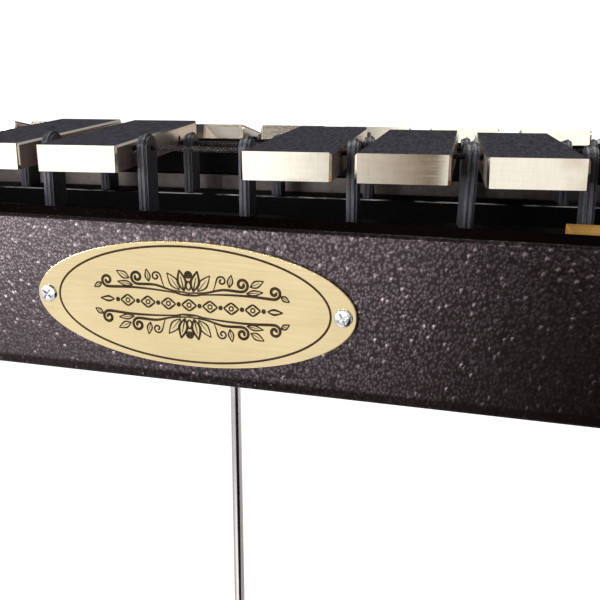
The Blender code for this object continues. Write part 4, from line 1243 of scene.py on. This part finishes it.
NICKEL_DARK = (0.36, 0.37, 0.39)
NICKEL_LIGHT = (0.74, 0.74, 0.76)
NICKEL_ROUGH = 0.16
SCREW_RADIUS = 0.0029
SCREW_HEIGHT = 0.0012
SCREW_WALL = SCREW_HEIGHT * 0.5
SCREW_DOME = ((0.20, 0.93), (0.14, 0.87), (0.06, 0.80))
SCREW_INSET = 0.0003
SCREW_SHIFT = 0.0013
SCREW_SIDES = 40
SCREW_TURNS = {"plate_screw_low": math.radians(28.0), "plate_screw_high": math.radians(52.0)}
RECESS_REACH = 0.0019
RECESS_WIDTH = 0.00080
RECESS_DEPTH = 0.0009


def punch_cross(screw, turn):
    """Cut the two slots of the recess, one after the other."""
    for k in range(2):
        bpy.ops.mesh.primitive_cube_add(size=1.0, location=(0.0, 0.0, SCREW_HEIGHT))
        bit = bpy.context.object
        bpy.ops.transform.resize(value=(RECESS_REACH * 2, RECESS_WIDTH, RECESS_DEPTH * 2))
        bit.rotation_euler = (0.0, 0.0, turn + k * math.pi / 2)
        kept_in_mesh(bit)
        apply_modifier(screw, "BOOLEAN", object=bit, operation="DIFFERENCE", solver="EXACT")
        bpy.data.objects.remove(bit, do_unlink=True)


def make_screw(name, turn):
    """A domed head with a punched cross, turned as it was left by the driver."""
    bpy.ops.mesh.primitive_cylinder_add(vertices=SCREW_SIDES, radius=SCREW_RADIUS, depth=SCREW_WALL,
                                        location=(0.0, 0.0, SCREW_WALL / 2))
    screw = bpy.context.object
    kept_in_mesh(screw)
    edit_mode(screw)
    for rise, size in SCREW_DOME:
        select_faces(screw, lambda point, normal: normal.z > 0.9)
        bpy.ops.mesh.extrude_region_move(TRANSFORM_OT_translate={"value": (0.0, 0.0, SCREW_HEIGHT * rise)})
        bpy.ops.transform.resize(value=(size, size, 1.0))
    object_mode(screw)
    punch_cross(screw, turn)
    along = (box_middle(name) - PLATE_MIDDLE).dot(PLATE_ALONG)
    along += SCREW_SHIFT - math.copysign(SCREW_INSET, along)
    screw.data.transform(Matrix.Translation((along, 0.0, 0.0)))
    placed_on_plate(screw)
    smoothed(screw, WALL_ANGLE)
    finished(screw, f"{name}_head", SCREW_FINISH, "upper", "screw_nickel", name)


SCREW_FINISH = plated_finish("screw_nickel_plate", NICKEL_DARK, NICKEL_LIGHT, NICKEL_ROUGH)
for screw_name, screw_turn in SCREW_TURNS.items():
    make_screw(screw_name, screw_turn)


# Studio: a pale floor under a white surround, with a large soft key light to the left and a weak one above.
# Cards that only reflections see stand close in front and far behind, as round a studio camera.
# A black flag close to the front rail keeps the key light off its right end.

FLOOR_SIZE = 40.0
FLOOR_Z = -0.0005
FLOOR_PALE = (0.80, 0.80, 0.80)
FLOOR_GLOW = (0.60, 1.0)
FLOOR_GLOSS = (0.05, 1.0)
FLOOR_FADE = (1.0, 2.6)
ROOM_LIGHT = 0.22
ROOM_GLOSS = 0.35
KEY_PLACE = (-0.73, -1.23, 0.98)
KEY_AIM = (-0.04, -0.15, 0.82)
KEY_SIZE = (1.00, 0.60)
KEY_LEVEL = 25.0
OVERHEAD_PLACE = (0.25, 0.35, 2.40)
OVERHEAD_AIM = (0.0, 0.0, 0.80)
OVERHEAD_SIZE = (1.80, 1.40)
OVERHEAD_LEVEL = 1.8
FLAG_LOW = (0.006, -0.300, 0.60)
FLAG_HIGH = (0.350, -0.300, 0.885)
CARD_BLACK = (0.012, 0.008, 0.008)
CARD_WHITE = (1.0, 1.0, 0.98)
CARD_PALE = (0.90, 0.89, 0.87)
CARD_GREY = (0.56, 0.53, 0.50)
CARD_TAN = (0.30, 0.25, 0.215)
CARD_BROWN = (0.16, 0.12, 0.09)
CARD_DULL = (0.10, 0.083, 0.070)
CARD_NIGHT = (0.05, 0.05, 0.06)
CARDS = {
    "card_low": ((-0.100, -0.500, 0.02), (1.20, -0.500, 0.785), 1.0,
                 [(-0.099, CARD_GREY), (-0.060, CARD_BROWN), (-0.030, CARD_BLACK), (1.19, CARD_BLACK)]),
    "card_upright": ((-0.450, -0.505, 0.787), (0.500, -0.505, 0.915), 1.12,
                     [(-0.44, CARD_WHITE), (-0.095, CARD_WHITE), (-0.035, CARD_GREY), (0.008, CARD_TAN),
                      (0.024, CARD_BROWN), (0.0300, CARD_BROWN), (0.0332, CARD_PALE), (0.49, CARD_PALE)]),
    "card_brow": ((-0.450, -0.504, 0.930), (0.500, -0.504, 1.300), 1.25,
                  [(-0.44, CARD_DULL), (-0.060, CARD_DULL), (-0.015, CARD_GREY), (0.010, CARD_WHITE),
                   (0.49, CARD_WHITE)]),
    "card_behind": ((-1.20, 1.20, 0.80), (1.20, 1.20, 1.30), 1.0,
                    [(-1.0, CARD_NIGHT), (1.0, CARD_NIGHT)]),
}


def make_room():
    """White surround for the camera and for reflections, and a weaker even light for the rest."""
    world = bpy.data.worlds.new("surround")
    world.use_nodes = True
    tree = world.node_tree
    path = add_node(tree, "ShaderNodeLightPath")
    mirrored_light = between(tree, path.outputs["Is Glossy Ray"], 0.0, 1.0, ROOM_LIGHT, ROOM_GLOSS)
    strength = reckoned(tree, "MAXIMUM", path.outputs["Is Camera Ray"], mirrored_light)
    tree.links.new(strength, tree.nodes["Background"].inputs["Strength"])
    tree.nodes["Background"].inputs["Color"].default_value = (1.0, 1.0, 1.0, 1.0)
    bpy.context.scene.world = world


def make_floor():
    """Pale floor that shows white, with the object's soft shadow kept."""
    bpy.ops.mesh.primitive_plane_add(size=FLOOR_SIZE, location=(0.0, 0.0, FLOOR_Z))
    floor = bpy.context.object
    floor.name = "studio_floor"
    made = new_material("floor_paper", roughness=0.9, Base_Color=(*FLOOR_PALE, 1.0), Specular_IOR_Level=0.0,
                        Emission_Color=(1.0, 1.0, 1.0, 1.0))
    tree = made.node_tree
    far = add_node(tree, "ShaderNodeVectorMath", {0: object_place(tree)}, operation="LENGTH").outputs["Value"]
    path = add_node(tree, "ShaderNodeLightPath").outputs
    direct = reckoned(tree, "MULTIPLY", path["Is Camera Ray"], between(tree, far, *FLOOR_FADE, *FLOOR_GLOW))
    mirrored_floor = between(tree, far, *FLOOR_FADE, *FLOOR_GLOSS)
    glow = reckoned(tree, "MULTIPLY_ADD", path["Is Glossy Ray"], mirrored_floor, direct)
    feed(made, Emission_Strength=glow)
    floor.data.materials.append(made)


def make_softbox(name, place, aim, size, level):
    """A soft light whose surface has the given brightness."""
    lamp = bpy.data.lights.new(name, "AREA")
    lamp.shape = "RECTANGLE"
    lamp.size, lamp.size_y = size
    lamp.energy = level * math.pi * size[0] * size[1]
    made = bpy.data.objects.new(name, lamp)
    made.location = place
    made.rotation_euler = (Vector(aim) - Vector(place)).to_track_quat("-Z", "Y").to_euler()
    made.visible_camera = False
    bpy.context.scene.collection.objects.link(made)


def make_board(name, low, high, finish, unseen_by):
    """An upright board across Y between two corners, which some kinds of light miss."""
    bpy.ops.mesh.primitive_plane_add(size=1.0, rotation=(math.pi / 2, 0.0, 0.0))
    board = bpy.context.object
    board.name = name
    board.scale = (high[0] - low[0], high[2] - low[2], 1.0)
    board.location = [(a + b) / 2 for a, b in zip(low, high)]
    kept_in_mesh(board)
    board.data.materials.append(finish)
    for light in unseen_by:
        setattr(board, f"visible_{light}", False)


def make_card(name, low, high, level, stops):
    """A card that only reflections see, with its colour running through stops along X."""
    made = new_material(name, Base_Color=(0.0, 0.0, 0.0, 1.0), Specular_IOR_Level=0.0,
                        Emission_Strength=level)
    tree = made.node_tree
    across = add_node(tree, "ShaderNodeSeparateXYZ", {"Vector": object_place(tree)}).outputs["X"]
    ramp = add_node(tree, "ShaderNodeValToRGB", {"Fac": between(tree, across, low[0], high[0])})
    places = [(x - low[0]) / (high[0] - low[0]) for x, _ in stops]
    marks = ramp.color_ramp.elements
    marks[0].position = places[0]
    marks[1].position = places[-1]
    for place in places[1:-1]:
        marks.new(place)
    for mark, (_, colour) in zip(marks, stops):
        mark.color = (*colour, 1.0)
    feed(made, Emission_Color=ramp.outputs["Color"])
    make_board(name, low, high, made, ("camera", "shadow", "diffuse"))


make_room()
make_floor()
make_softbox("softbox_left", KEY_PLACE, KEY_AIM, KEY_SIZE, KEY_LEVEL)
make_softbox("softbox_top", OVERHEAD_PLACE, OVERHEAD_AIM, OVERHEAD_SIZE, OVERHEAD_LEVEL)
for card_name, (card_corner, far_corner, card_level, card_stops) in CARDS.items():
    make_card(card_name, card_corner, far_corner, card_level, card_stops)
make_board("flag_right", FLAG_LOW, FLAG_HIGH, new_material("flag_black", roughness=1.0),
           ("camera", "glossy", "diffuse"))


# Camera: close in front of the plate, a little above the bars, turned to its left and looking down.
# The lens stands about 0.2 m from the rail.

CAMERA_PLACE = (0.0547, -0.4312, 0.8910)
CAMERA_DOWN = math.radians(74.97)
CAMERA_TURN = math.radians(9.31)
CAMERA_LENS = 54.12
CAMERA_SENSOR = 36.0
CAMERA_NEAR = 0.02

camera_data = bpy.data.cameras.new("camera")
camera_data.lens = CAMERA_LENS
camera_data.sensor_width = CAMERA_SENSOR
camera_data.clip_start = CAMERA_NEAR
camera = bpy.data.objects.new("camera", camera_data)
camera.location = CAMERA_PLACE
camera.rotation_euler = (CAMERA_DOWN, 0.0, CAMERA_TURN)
bpy.context.scene.collection.objects.link(camera)
bpy.context.scene.camera = camera
bpy.context.scene.view_settings.view_transform = "Standard"
